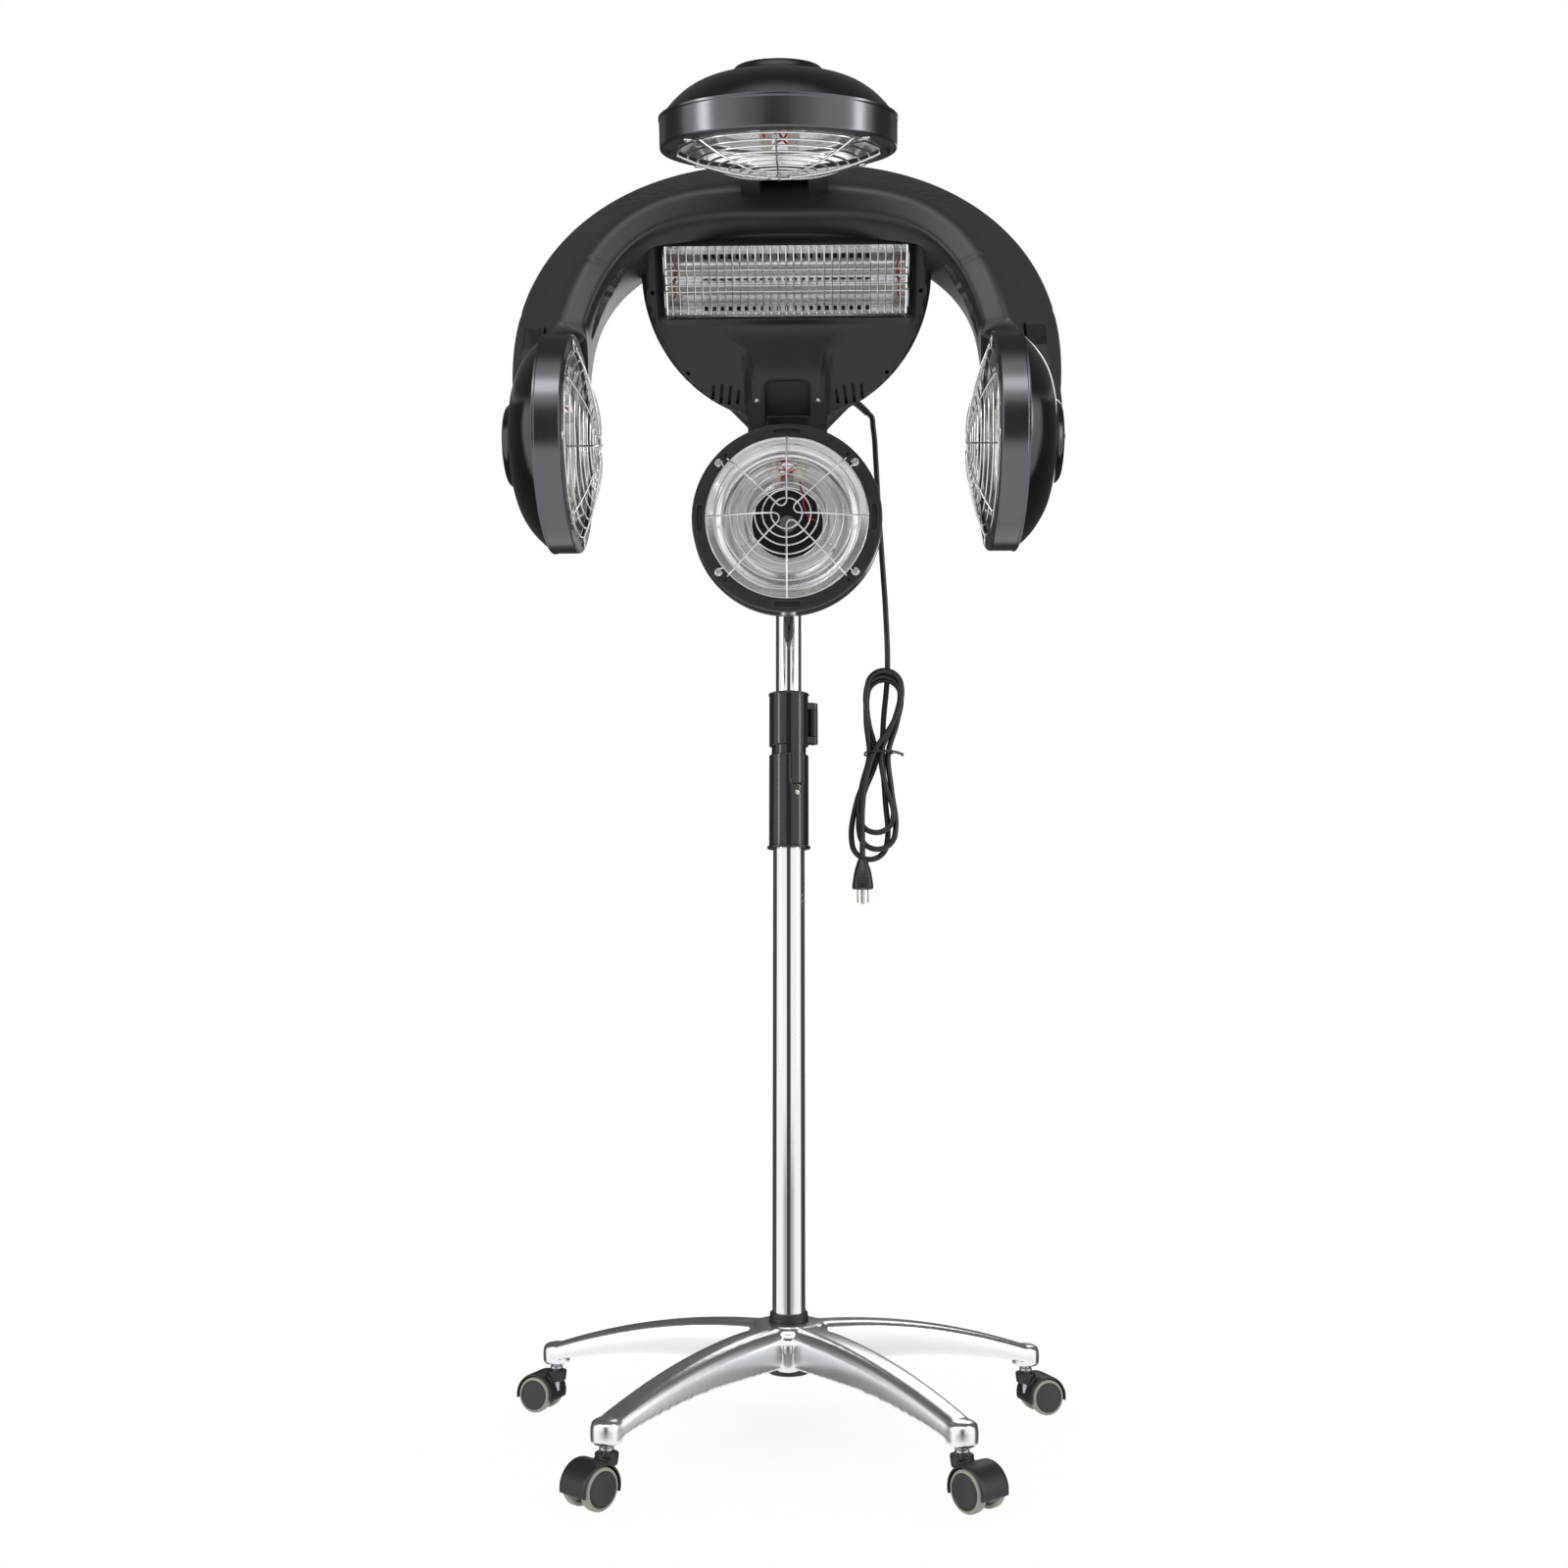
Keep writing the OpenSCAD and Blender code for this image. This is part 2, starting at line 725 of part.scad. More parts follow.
// Directions across the thickness and across the depth of the arm, turned by roll about its way
function arm_out0(a) = let (t = arm_way(a), r = [arm_mid(a)[0], 0, arm_mid(a)[2] - 1150]) unit(r - (r * t) * t);
function arm_back0(a) = cross(arm_out0(a), arm_way(a));
function arm_roll(a) = 12 - 10 * a / 90 + 20 * a / 90 * (1 - a / 90);
function arm_out(a) = arm_out0(a) * cos(arm_roll(a)) - arm_back0(a) * sin(arm_roll(a));
function arm_back(a) = arm_back0(a) * cos(arm_roll(a)) + arm_out0(a) * sin(arm_roll(a));

// Ring of the arm's section at angle a, grown all round by grow; slab keeps only that much of the outside
function arm_ring(a, grow, slab = 0) =
    let (k = a / 90,
         half = (arch_depth + (arm_end_depth - arch_depth) * k) / 2 + 60 * k * (1 - k) + grow,
         front_t = arm_front_t - 8 * k,
         back_t = arch_back_t + (arm_back_t - arch_back_t) * k + 24 * k * (1 - k))
    [for (j = [0:arm_points - 1])
        let (c = sgn_pow(cos(360 * j / arm_points), 0.6),
             s = sgn_pow(sin(360 * j / arm_points), 0.6),
             thick = front_t + (back_t - front_t) * (s + 1) / 2,
             low = slab > 0 ? thick - slab : -grow,
             out = low + (thick + grow - low) * (1 + c) / 2)
        arm_mid(a) + out * arm_out(a) + half * s * arm_back(a)];

module arm_solid(grow) {
    skin([for (a = arm_angles) arm_ring(a, grow)]);
}

// The hollow of an arm, open towards the arch
module arm_hollow() {
    first = arm_ring(0, -shell);
    skin(concat([[for (p = first) p - [1, 0, 0]]], [for (a = arm_angles) if (a < arm_cut - 1) arm_ring(a, -shell)]));
}

scoop_w = 322;        // width of the space that the arms leave round the heater
scoop_top = 72;       // its top above the middle of the front cover, along the cover
scoop_corner = 16;    // radius of its upper corners

// The space that the arms leave in front of the heater, grown all round by grow
module heater_scoop(grow) {
    at_cover()
        translate([0, 0, -90])
            linear_extrude(230)
                hull() {
                    for (side = [-1, 1])
                        translate([side * (scoop_w / 2 - scoop_corner), scoop_top - scoop_corner])
                            circle(r = scoop_corner + grow);
                    translate([-scoop_w / 2 - grow, -100 - grow])
                        square([scoop_w + 2 * grow, 10]);
                }
}

cheek_l = 60;         // how far a cheek runs from its pin up into the arm
yoke_l = 38;          // length of the solid root that joins an arm's two cheeks

// One arm with the tongue and the yoke that carries a side head
module arm() {
    difference() {
        union() {
            difference() {
                arm_solid(0);
                difference() {
                    arm_hollow();
                    heater_scoop(shell);
                }
                heater_scoop(0);
            }
            difference() {
                skin([for (a = [arm_cut - 3, arm_cut, arm_cut + 2, arm_cut + 4]) arm_ring(a, -6, 12)]);
                at_head("right")
                    translate([0, hinge_r, -hinge_back])
                        rotate([0, 90, 0])
                            cylinder(r = lug_reach + 0.7, h = cheek_gap + cheek_t, center = true);
            }
            at_head("right")
                translate([-cheek_reach, hinge_r + cheek_l - yoke_l, -hinge_back - lug_reach - 1])
                    cube([2 * cheek_reach, yoke_l, 2 * lug_reach + 2]);
            at_head("right")
                for (side = [-1, 1])
                    translate([side * (cheek_gap + cheek_t) / 2, hinge_r, -hinge_back]) {
                        rotate([0, 90, 0])
                            cylinder(r = lug_reach + 1, h = cheek_t, center = true);
                        translate([-cheek_t / 2, 0, -lug_reach - 1])
                            cube([cheek_t, cheek_l, 2 * lug_reach + 2]);
                    }
        }
        at_head("right")
            translate([0, hinge_r, -hinge_back])
                rotate([0, 90, 0])
                    cylinder(d = hinge_pin_d, h = 4 * cheek_reach, center = true);
    }
}

module right_arm() {
    color("#151617")
        arm();
}

module left_arm() {
    color("#151617")
        mirror([1, 0, 0])
            arm();
}

// ---------- hood housing ----------

cover_mid = [0, -cover_out, cover_z];
// Point of the middle plane at height s up the cover and n in front of its face
function cover_point(s, n) = cover_mid + s * [0, -sin(cover_lean), cos(cover_lean)] - n * [0, cos(cover_lean), sin(cover_lean)];

// Children drawn with X across, Y up the cover and Z out of its face
module at_cover() {
    translate(cover_mid)
        rotate([90 + cover_lean, 0, 0])
            children();
}

cover_round_y = 30;   // middle of the cover's round part above the middle of the cover
cover_top_y = 106;    // top of the cover's flatter upper edge
cover_top_r = 515;    // radius of that edge

// Plate in the shape of the front cover, inset by wall, from z0 to z1
module shield(wall, z0, z1) {
    intersection() {
        translate([0, cover_round_y, z0])
            cylinder(r = cover_r - wall, h = z1 - z0, $fn = 96);
        translate([0, cover_top_y - cover_top_r, z0])
            cylinder(r = cover_top_r - wall, h = z1 - z0, $fn = 96);
    }
}

module arches(grow) {
    difference() {
        union() {
            arm_solid(grow);
            mirror([1, 0, 0])
                arm_solid(grow);
        }
        heater_scoop(-grow);
    }
}

mouth_w = 50;         // width of the opening between the nape bracket's struts
mouth_y = [-142, -88];

module front_cover() {
    frame_w = heater_w + 16;
    frame_h = heater_h + 16;
    color("#1a1b1d")
        difference() {
            union() {
                at_cover() {
                    shield(0, -cover_rim, 0);
                    translate([-frame_w / 2, heater_up - frame_h / 2, -1])
                        cube([frame_w, frame_h, 7]);
                }
            }
            at_cover() {
                shield(shell, -cover_rim - 1, -shell);
                translate([-heater_w / 2, heater_up - heater_h / 2, -cover_rim])
                    cube([heater_w, heater_h, cover_rim + 10]);
                translate([-mouth_w / 2, mouth_y[0] - 20, -cover_rim - 1])
                    cube([mouth_w, mouth_y[1] - mouth_y[0] + 20 - mouth_w / 4, cover_rim + 2]);
                for (side = [-1, 1])
                    for (i = [0:3])
                        translate([side * (60 + 10 * i), -108 + 2 * i, -shell - 1])
                            rotate([0, 0, side * 8])
                                translate([-2, -12, 0])
                                    cube([4, 24, shell + 2]);
            }
            arches(seat);
        }
}

back_mid = [0, 10, 1335];     // middle of the rear cover's round back
back_radii = [100, 45, 78];   // its radii across, front to back and up
back_flat_y = 47;             // where the back is cut flat for the controls
neck_z = 1176;                // bottom of the neck round the column
neck_r = 22;
socket_r = neck_r - shell;
knob_z = 1352;
rocker_z = 1316;

module rear_lump(wall) {
    hull() {
        at_cover()
            shield(wall, -cover_rim - 2, -cover_rim + wall / 2);
        translate(back_mid)
            scale([back_radii[0] - wall, back_radii[1] - wall, back_radii[2] - wall])
                sphere(r = 1, $fn = 40);
    }
}

module rear_funnel(wall, foot) {
    hull() {
        translate([0, -12, 1258])
            scale([98 - wall, 36 - wall, 1])
                cylinder(r = 1, h = 10 + wall, $fn = 40);
        translate([0, 0, foot])
            cylinder(r = neck_r - wall, h = 8, $fn = 40);
    }
}

module rear_cover() {
    color("#17181a")
        difference() {
            union() {
                difference() {
                    union() {
                        rear_lump(0);
                        rear_funnel(0, neck_z);
                    }
                    rear_lump(shell);
                    rear_funnel(shell, neck_z + 8);
                    translate([-200, back_flat_y, cover_z - 200])
                        cube([400, 100, 400]);
                    arches(seat);
                }
                intersection() {
                    rear_lump(0);
                    translate([-60, back_flat_y - shell, knob_z - 64])
                        cube([120, shell, 96]);
                }
                translate([-rocker_w / 2 - 5, back_flat_y - shell, rocker_z - rocker_l / 2 - 5])
                    cube([rocker_w + 10, shell + 5, rocker_l + 10]);
            }
            translate([0, 0, neck_z - 1])
                cylinder(r = socket_r, h = 20);
            translate([-rocker_w / 2 - seat, back_flat_y - 2 * shell, rocker_z - rocker_l / 2 - 1])
                cube([rocker_w + 2 * seat, 4 * shell + 10, rocker_l + 2]);
            translate([0, back_flat_y + 1.5, rocker_z])
                rotate([0, 90, 0])
                    cylinder(r = 1.5 + running, h = rocker_w + 8, center = true);
            translate([0, back_flat_y + 1, knob_z])
                rotate([90, 0, 0])
                    cylinder(r = 3 + running, h = 10);
            translate(relief_root)
                rotate(relief_way)
                    cylinder(r = cord_d / 2 + 2, h = 30, center = true);
        }
}

module swivel_socket() {
    color("#8f9296") {
        difference() {
            translate([0, 0, neck_z + 2])
                cylinder(r = socket_r, h = mast_seat_z + 5 - neck_z - 2);
            translate([0, 0, neck_z])
                cylinder(r = mast_bore_r, h = mast_seat_z - neck_z);
        }
    }
}

module power_rocker() {
    color("#101112")
        translate([0, back_flat_y + 1.5, rocker_z]) {
            rotate([0, 90, 0])
                cylinder(r = 1.5, h = rocker_w + 7, center = true);
            difference() {
                translate([-rocker_w / 2, -5, -rocker_l / 2])
                    cube([rocker_w, 12, rocker_l]);
                translate([0, 30, 0])
                    rotate([0, 90, 0])
                        cylinder(r = 26, h = rocker_w + 2, center = true);
                for (side = [-1, 1])
                    translate([0, -9, side * rocker_l / 2])
                        rotate([45, 0, 0])
                            cube([rocker_w + 2, 8, 8], center = true);
            }
        }
}

module timer_knob() {
    color("#101112")
        difference() {
            union() {
                translate([0, back_flat_y + seat, knob_z])
                    rotate([-90, 0, 0])
                        rotate_extrude()
                            polygon([[0, 0], [knob_d / 2, 0], [knob_d / 2, 2], [knob_d / 2 - 1.5, knob_h - 1.5],
                                     [knob_d / 2 - 3, knob_h], [0, knob_h]]);
                translate([0, back_flat_y + 1, knob_z])
                    rotate([90, 0, 0])
                        cylinder(r = 3, h = 8);
            }
            translate([-0.8, back_flat_y + knob_h - 1, knob_z + 4])
                cube([1.6, 3, knob_d / 2]);
        }
}

// ---------- brackets of the top and nape heads ----------

// Upright plate of a strut: a side outline of [y, z] points, drawn on both sides of the middle
module struts(outline) {
    for (side = [-1, 1])
        translate([side * (strut_gap + strut_w) / 2, 0, 0])
            rotate([90, 0, 90])
                linear_extrude(strut_w, center = true)
                    polygon(outline);
}

function side_of(p) = [p[1], p[2]];

module strut_ends(pin) {
    for (side = [-1, 1])
        translate([side * (strut_gap + strut_w) / 2, pin[1], pin[2]])
            rotate([0, 90, 0])
                cylinder(r = lug_reach, h = strut_w, center = true);
}

module strut_bores(pin) {
    translate(pin)
        rotate([0, 90, 0])
            cylinder(d = hinge_pin_d, h = 3 * strut_reach, center = true);
}

on_arch = [arch_y - 69, arch_z + 51];      // where the top bracket meets the front of the arch, as [y, z]

module top_arm() {
    p = side_of(top_pin);
    color("#151617")
        difference() {
            union() {
                struts([p + [-2, lug_reach], p + [-4, 4 - lug_reach], p + [30, -6], on_arch + [50, -35],
                        on_arch + [50, 10], on_arch + [0, 2]]);
                strut_ends(top_pin);
                translate([-strut_gap / 2, 0, 0])
                    rotate([90, 0, 90])
                        linear_extrude(strut_gap)
                            polygon([p + [26, 6], p + [26, 14], on_arch, on_arch + [50, 8], on_arch + [50, 0]]);
            }
            strut_bores(top_pin);
            arches(0);
        }
}

nape_pad_y = [-126, -94];     // where the nape bracket's feet are screwed on, up the cover

module nape_arm() {
    p = side_of(nape_pin);
    color("#151617")
        difference() {
            union() {
                struts([side_of(cover_point(nape_pad_y[0], 0)), side_of(cover_point(nape_pad_y[1], 0)),
                        side_of(cover_point(nape_pad_y[1], 6)), side_of(cover_point(nape_pad_y[0] + 12, 14)),
                        p + [-lug_reach + 1, 4], p + [lug_reach - 1, 4]]);
                strut_ends(nape_pin);
            }
            strut_bores(nape_pin);
        }
}

// ---------- flat heater ----------

// The bent sheet behind the tubes, as [height, depth] from the middle of the heater
reflector_half = heater_h / 2 - 1;
tube_y = heater_tube_gap / 2;
trough_depth = 34;
sheet_line = [[reflector_half, 0], [reflector_half - 10, -22], [tube_y + 6, -trough_depth],
              [tube_y - 5, -trough_depth], [0, -20], [5 - tube_y, -trough_depth], [-tube_y - 6, -trough_depth],
              [10 - reflector_half, -22], [-reflector_half, 0]];
sheet_t = 1.2;

module heater_reflector() {
    back = [for (i = [len(sheet_line) - 1:-1:0]) sheet_line[i] - [0, sheet_t]];
    color("#e4e6e8")
        at_cover()
            translate([0, heater_up, 0]) {
                rotate([90, 0, 90])
                    linear_extrude(heater_w - 3, center = true)
                        polygon(concat(sheet_line, back));
                for (side = [-1, 1])
                    translate([side * (heater_w / 2 - 1), 0, 0])
                        rotate([90, 0, 90])
                            linear_extrude(2, center = true)
                                polygon([[heater_h / 2, 1], [heater_h / 2, -1], [heater_h / 2 - 6, -trough_depth - 3],
                                         [6 - heater_h / 2, -trough_depth - 3], [-heater_h / 2, -1], [-heater_h / 2, 1]]);
            }
}

module heater_tubes() {
    color("#e9e4da")
        at_cover()
            for (side = [-1, 1])
                translate([0, heater_up + side * tube_y, -17])
                    rotate([0, 90, 0])
                        cylinder(d = heater_tube_d, h = heater_w - 4, center = true);
}

module heater_guard() {
    guard_w = heater_w + 4;
    guard_h = heater_h + 4;
    pitch = (guard_w - wire_t) / (heater_wires - 1);
    color("#d4d7da")
        at_cover()
            translate([0, heater_up, 6]) {
                for (i = [0:heater_wires - 1])
                    translate([-guard_w / 2 + i * pitch, -guard_h / 2, 4])
                        cube([wire_t - 0.4, guard_h, wire_t]);
                for (k = [-0.5, -0.24, -0.14, 0.02, 0.1, 0.46])
                    translate([-guard_w / 2, k * guard_h - (k < 0.4 ? 0 : wire_t / 2), 3])
                        cube([guard_w, wire_t, wire_t]);
                for (side = [-1, 1])
                    for (end = [-1, 1])
                        translate([side * guard_w / 2, end * guard_h / 2, 0])
                            cylinder(r = 2.5, h = 5);
            }
}

// ---------- mains cord ----------

relief_root = [65, 20, 1277.5];
relief_way = [0, 128, 18];
relief_l = 48;
relief_dir = [sin(relief_way[1]) * cos(relief_way[2]), sin(relief_way[1]) * sin(relief_way[2]), cos(relief_way[1])];
relief_end = relief_root + relief_l * relief_dir;

module strain_relief() {
    color("#0d0e0f")
        translate(relief_root)
            rotate(relief_way)
                rotate_extrude()
                    polygon([[0, -7], [cord_d / 2 + 2, -7], [cord_d / 2 + 2, 8], [cord_d / 2 + 1, relief_l], [0, relief_l]]);
}

// The cord's route from the strain relief to the top of the hank
cord_route = [
    relief_end, relief_end + 6 * relief_dir, [112, 37, 1231], [116, 41, 1215], [117, 43, 1196], [118, 43, 1175], [119, 43, 1150],
    [120, 43, 1125], [122, 43, 1100], [123, 43, 1075], [125, 43, 1050], [126, 43, 1025], [127, 43, 1000],
    [127, 43, 975], [127, 43, 950], [126, 43, 930], [124, 43, 912]
];

cord_sides = 8;

function cord_way(i) = unit(cord_route[min(i + 1, len(cord_route) - 1)] - cord_route[max(i - 1, 0)]);
function cord_ring(i) =
    let (t = cord_way(i), a = unit(cross(t, [0, 1, 0])), b = cross(t, a))
    [for (j = [0:cord_sides - 1])
        cord_route[i] + cord_d / 2 * (a * cos(360 * j / cord_sides) + b * sin(360 * j / cord_sides))];

module power_cord() {
    color("#0d0e0f")
        skin([for (i = [0:len(cord_route) - 1]) cord_ring(i)]);
}

hank_top = cord_route[len(cord_route) - 1];
hank_l = 240;
hank_lean = 16;       // how far the bottom of the hank hangs to the side of its top
hank_foot = hank_top - [hank_lean, 0, hank_l];

// The outer shape of the looped and tied cord
module cord_hank() {
    r = hank_w / 2;
    color("#0d0e0f")
        translate([hank_top[0] - 4, hank_top[1] + hank_t / 2, hank_top[2]])
            rotate([90, 0, 0])
                union() {
                    translate([0, -r, 0])
                        cylinder(r = r, h = hank_t);
                    translate([-hank_lean, r - hank_l, 0])
                        cylinder(r = r, h = hank_t);
                    linear_extrude(hank_t)
                        polygon([[0.5 - r, -r], [r - 0.5, -r], [r - 0.5 - hank_lean, r - hank_l], [0.5 - r - hank_lean, r - hank_l]]);
                }
}

plug_top = hank_foot - [18, 11, 0];
blade_l = 17;

// The moulded plug with its two flat blades and its round earth pin
module power_plug() {
    translate(plug_top - [0, 0, plug_l]) {
        color("#0d0e0f") {
            cylinder(r1 = plug_d / 2, r2 = plug_d / 2 - 4, h = plug_l - 6);
            translate([0, 0, plug_l - 6])
                cylinder(r1 = plug_d / 2 - 4, r2 = cord_d / 2 + 1, h = 8);
        }
        color("#c8b27a") {
            for (side = [-1, 1])
                translate([side * 6.35 - 0.75, -6, -blade_l])
                    cube([1.5, 6.3, blade_l + 1]);
            translate([0, 5, -blade_l - 2])
                cylinder(d = 4.8, h = blade_l + 3);
        }
    }
}

// ---------- assembly ----------

star_base();
caster_stems();
hub_trim();
lower_tube();
clamp_sleeve();
clamp_collar();
clamp_lever();
upper_tube();
on_mast() swivel_socket();
on_mast() rear_cover();
on_mast() front_cover();
on_mast() left_arm();
on_mast() right_arm();
on_mast() top_arm();
on_mast() nape_arm();
on_mast() hinge_pins();
on_mast() heater_reflector();
on_mast() heater_tubes();
on_mast() heater_guard();
on_mast() power_rocker();
on_mast() timer_knob();
on_mast() strain_relief();
on_mast() power_cord();
on_mast() cord_hank();
on_mast() power_plug();
for (i = [0:4])
    for (p = CASTER_PIECES)
        at_caster(i) caster_piece(p);
for (h = HEADS)
    for (p = HEAD_PIECES)
        on_mast() at_head(h) head_piece(h, p);
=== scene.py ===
"""Salon hood dryer on a rolling stand: surfaces, finishes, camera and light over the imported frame."""

import bmesh
import bpy
import numpy as np
from mathutils import Matrix
from mathutils.geometry import delaunay_2d_cdt


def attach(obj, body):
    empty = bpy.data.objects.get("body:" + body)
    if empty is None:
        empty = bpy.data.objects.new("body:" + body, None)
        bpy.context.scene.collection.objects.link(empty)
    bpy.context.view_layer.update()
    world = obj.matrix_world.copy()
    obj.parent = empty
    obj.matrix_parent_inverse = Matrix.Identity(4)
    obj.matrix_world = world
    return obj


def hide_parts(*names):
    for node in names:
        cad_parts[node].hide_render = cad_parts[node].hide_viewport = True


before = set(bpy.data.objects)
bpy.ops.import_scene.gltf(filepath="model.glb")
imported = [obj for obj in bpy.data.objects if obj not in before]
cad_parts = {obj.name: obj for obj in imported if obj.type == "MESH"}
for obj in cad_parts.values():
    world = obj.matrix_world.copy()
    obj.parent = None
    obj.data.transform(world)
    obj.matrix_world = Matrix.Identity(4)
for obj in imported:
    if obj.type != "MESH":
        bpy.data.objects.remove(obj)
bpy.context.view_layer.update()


def linked(name, data):
    """A new object with that data, in the scene."""
    made = bpy.data.objects.new(name, data)
    bpy.context.scene.collection.objects.link(made)
    return made


# ---- Camera ----
# A 34 mm lens at the height of a seated client's lap, a little under 2 m in front of the column and tipped
# up by 8.7 degrees, so that the hood is seen from below and the star base from above.
camera_data = bpy.data.cameras.new("front_camera")
camera_data.lens = 33.75
camera_data.sensor_width = 36
camera_data.shift_x = -0.0031
camera = linked("front_camera", camera_data)
camera_turn, camera_away, camera_up = np.radians(1.15), 1.771, 0.479
camera.location = (camera_away * np.sin(camera_turn), -camera_away * np.cos(camera_turn), camera_up)
camera.rotation_euler = (np.radians(90 + 8.72), 0, camera_turn)
bpy.context.scene.camera = camera


# ---- Mains cord ----
# A 7 mm round PVC mains lead that leaves the back of the hood through a ribbed boot and hangs free. Its spare
# length is folded into a hank of three loops, which a twist tie holds, with the moulded three-pin plug below.
def linear(code):
    """sRGB hex to linear light: c / 12.92 below 0.04045, and ((c + 0.055) / 1.055) ** 2.4 above."""
    c = np.array([int(code[i:i + 2], 16) / 255 for i in (1, 3, 5)])
    return (*np.where(c < 0.04045, c / 12.92, ((c + 0.055) / 1.055) ** 2.4), 1.0)


def add_node(tree, kind, values={}, links={}):
    """Adds a shader node. Values go to its inputs, or to the node itself where no input has that name, and
    links join its inputs to the outputs of other nodes."""
    made = tree.nodes.new("ShaderNode" + kind)
    for key, value in values.items():
        if isinstance(key, int) or key in made.inputs:
            made.inputs[key].default_value = value
        else:
            setattr(made, key, value)
    for key, source in links.items():
        tree.links.new(source, made.inputs[key])
    return made


def blank_material(name):
    """An empty node material, its tree and the place on the object."""
    material = bpy.data.materials.new(name)
    material.use_nodes = True
    material.node_tree.nodes.clear()
    return material, material.node_tree, add_node(material.node_tree, "TexCoord").outputs["Object"]


def finish_of(name, colour, roughness, metallic=0.0, grain=0.8, relief=0.02, patches=0.06, coat=0.0, tint=None):
    """A maker's finish: fine grain of `grain` mm and `relief` mm as bump, and roughness that drifts by `patches`
    over about 40 mm, as handling and polishing leave it. The colour drifts to `tint` with the same patches."""
    material, tree, place = blank_material(name)
    fine = add_node(tree, "TexNoise", {"Scale": 1000 / grain, "Detail": 2.0}, {"Vector": place})
    broad = add_node(tree, "TexNoise", {"Scale": 25.0, "Detail": 3.0}, {"Vector": place})
    rough = add_node(tree, "MapRange", {"To Min": max(roughness - patches, 0.01), "To Max": roughness + patches},
                     {"Value": broad.outputs["Fac"]})
    bump = add_node(tree, "Bump", {"Strength": 0.5, "Distance": relief / 1000}, {"Height": fine.outputs["Fac"]})
    shader = add_node(tree, "BsdfPrincipled", {"Base Color": linear(colour), "Metallic": metallic},
                      {"Roughness": rough.outputs["Result"], "Normal": bump.outputs["Normal"]})
    if coat:
        shader.inputs["Coat Weight"].default_value = coat
        shader.inputs["Coat Roughness"].default_value = 0.06
    if tint:
        shade = add_node(tree, "MixRGB", {"Color1": linear(colour), "Color2": linear(tint)},
                         {"Fac": broad.outputs["Fac"]})
        tree.links.new(shade.outputs["Color"], shader.inputs["Base Color"])
    add_node(tree, "OutputMaterial", {}, {"Surface": shader.outputs["BSDF"]})
    return material


def curve_through(knots, step):
    """Curve through knots. Between two knots k0 and k1, h apart, with slopes m0 and m1 by central differences:
    (2u^3-3u^2+1) k0 + (u^3-2u^2+u) h m0 + (3u^2-2u^3) k1 + (u^3-u^2) h m1. A point every step mm."""
    k = np.asarray(knots, float)
    d = np.r_[0, np.cumsum(np.linalg.norm(np.diff(k, axis=0), axis=1))]
    slope = np.gradient(k, d, axis=0)
    t = np.linspace(0, d[-1], int(d[-1] / step) + 2)
    i = np.clip(np.searchsorted(d, t, side="right") - 1, 0, len(d) - 2)
    h = (d[i + 1] - d[i])[:, None]
    u = (t - d[i])[:, None] / h
    return ((2 * u**3 - 3 * u**2 + 1) * k[i] + (u**3 - 2 * u**2 + u) * h * slope[i]
            + (3 * u**2 - 2 * u**3) * k[i + 1] + (u**3 - u**2) * h * slope[i + 1])


def polar(r, v, z):
    """Points (r cos v, r sin v, z)."""
    return np.stack(np.broadcast_arrays(r * np.cos(v), r * np.sin(v), z), -1)


def arc_about(x, y, r, v):
    """Points (x + r cos v, y + r sin v)."""
    return np.stack([x + r * np.cos(v), y + r * np.sin(v)], -1)


def squared(x, power):
    """sgn(x) |x|^power, which makes a circle's sine and cosine those of a rounded square."""
    return np.sign(x) * np.abs(x) ** power


def grid_faces(rows, cols, wrap_rows=False, wrap_cols=False):
    """Quads of a rows by cols grid of points numbered row by row, closed over the ends where it wraps."""
    r = np.arange(rows if wrap_rows else rows - 1)[:, None]
    c = np.arange(cols if wrap_cols else cols - 1)[None, :]
    down, right = (r + 1) % rows * cols, (c + 1) % cols
    return np.stack([r * cols + c, r * cols + right, down + right, down + c], -1).reshape(-1, 4)


def skin(rings, wrap=False, caps=0):
    """Shape from rings of points in rows and columns: quads between the rings, from the last to the first too
    where it wraps, and a flat face over the first one (caps = 1) or over both ends (caps = 2)."""
    rows, cols = rings.shape[:2]
    faces = grid_faces(rows, cols, wrap, True)
    ends = [list(range(cols))[::-1], list(range((rows - 1) * cols, rows * cols))]
    return rings.reshape(-1, 3), faces.tolist() + ends[:caps] if caps else faces


def tube(path, radius, sides=10, closed=False):
    """Round tube along a path: path + radius (a cos v + b sin v), where a and b are square to the path's way and
    a is square to the world axis that the path follows least. Its ends close to a point."""
    path = np.asarray(path, float)
    way = np.roll(path, -1, 0) - np.roll(path, 1, 0) if closed else np.gradient(path, axis=0)
    way /= np.linalg.norm(way, axis=1)[:, None]
    a = np.cross(way, np.eye(3)[np.abs(way).max(0).argmin()])
    a /= np.linalg.norm(a, axis=1)[:, None]
    b = np.cross(way, a)
    v = np.linspace(0, 2 * np.pi, sides, endpoint=False)[None, :, None]
    rings = path[:, None] + np.reshape(radius, (-1, 1, 1)) * (a[:, None] * np.cos(v) + b[:, None] * np.sin(v))
    if not closed:
        rings = np.concatenate([np.repeat(path[None, :1], sides, 1), rings, np.repeat(path[None, -1:], sides, 1)])
    return skin(rings, closed)


def face_lists(shape):
    """A shape's faces as lists of point numbers."""
    return shape[1].tolist() if isinstance(shape[1], np.ndarray) else shape[1]


def joined(*shapes):
    """Several shapes as one: the points in a row, and each shape's faces moved on by the points before it."""
    starts = np.cumsum([0] + [len(s[0]) for s in shapes[:-1]]).tolist()
    return (np.concatenate([s[0] for s in shapes]),
            [[i + n for i in f] for s, n in zip(shapes, starts) for f in face_lists(s)])


on_casters = np.array([0, 0, -9.0])


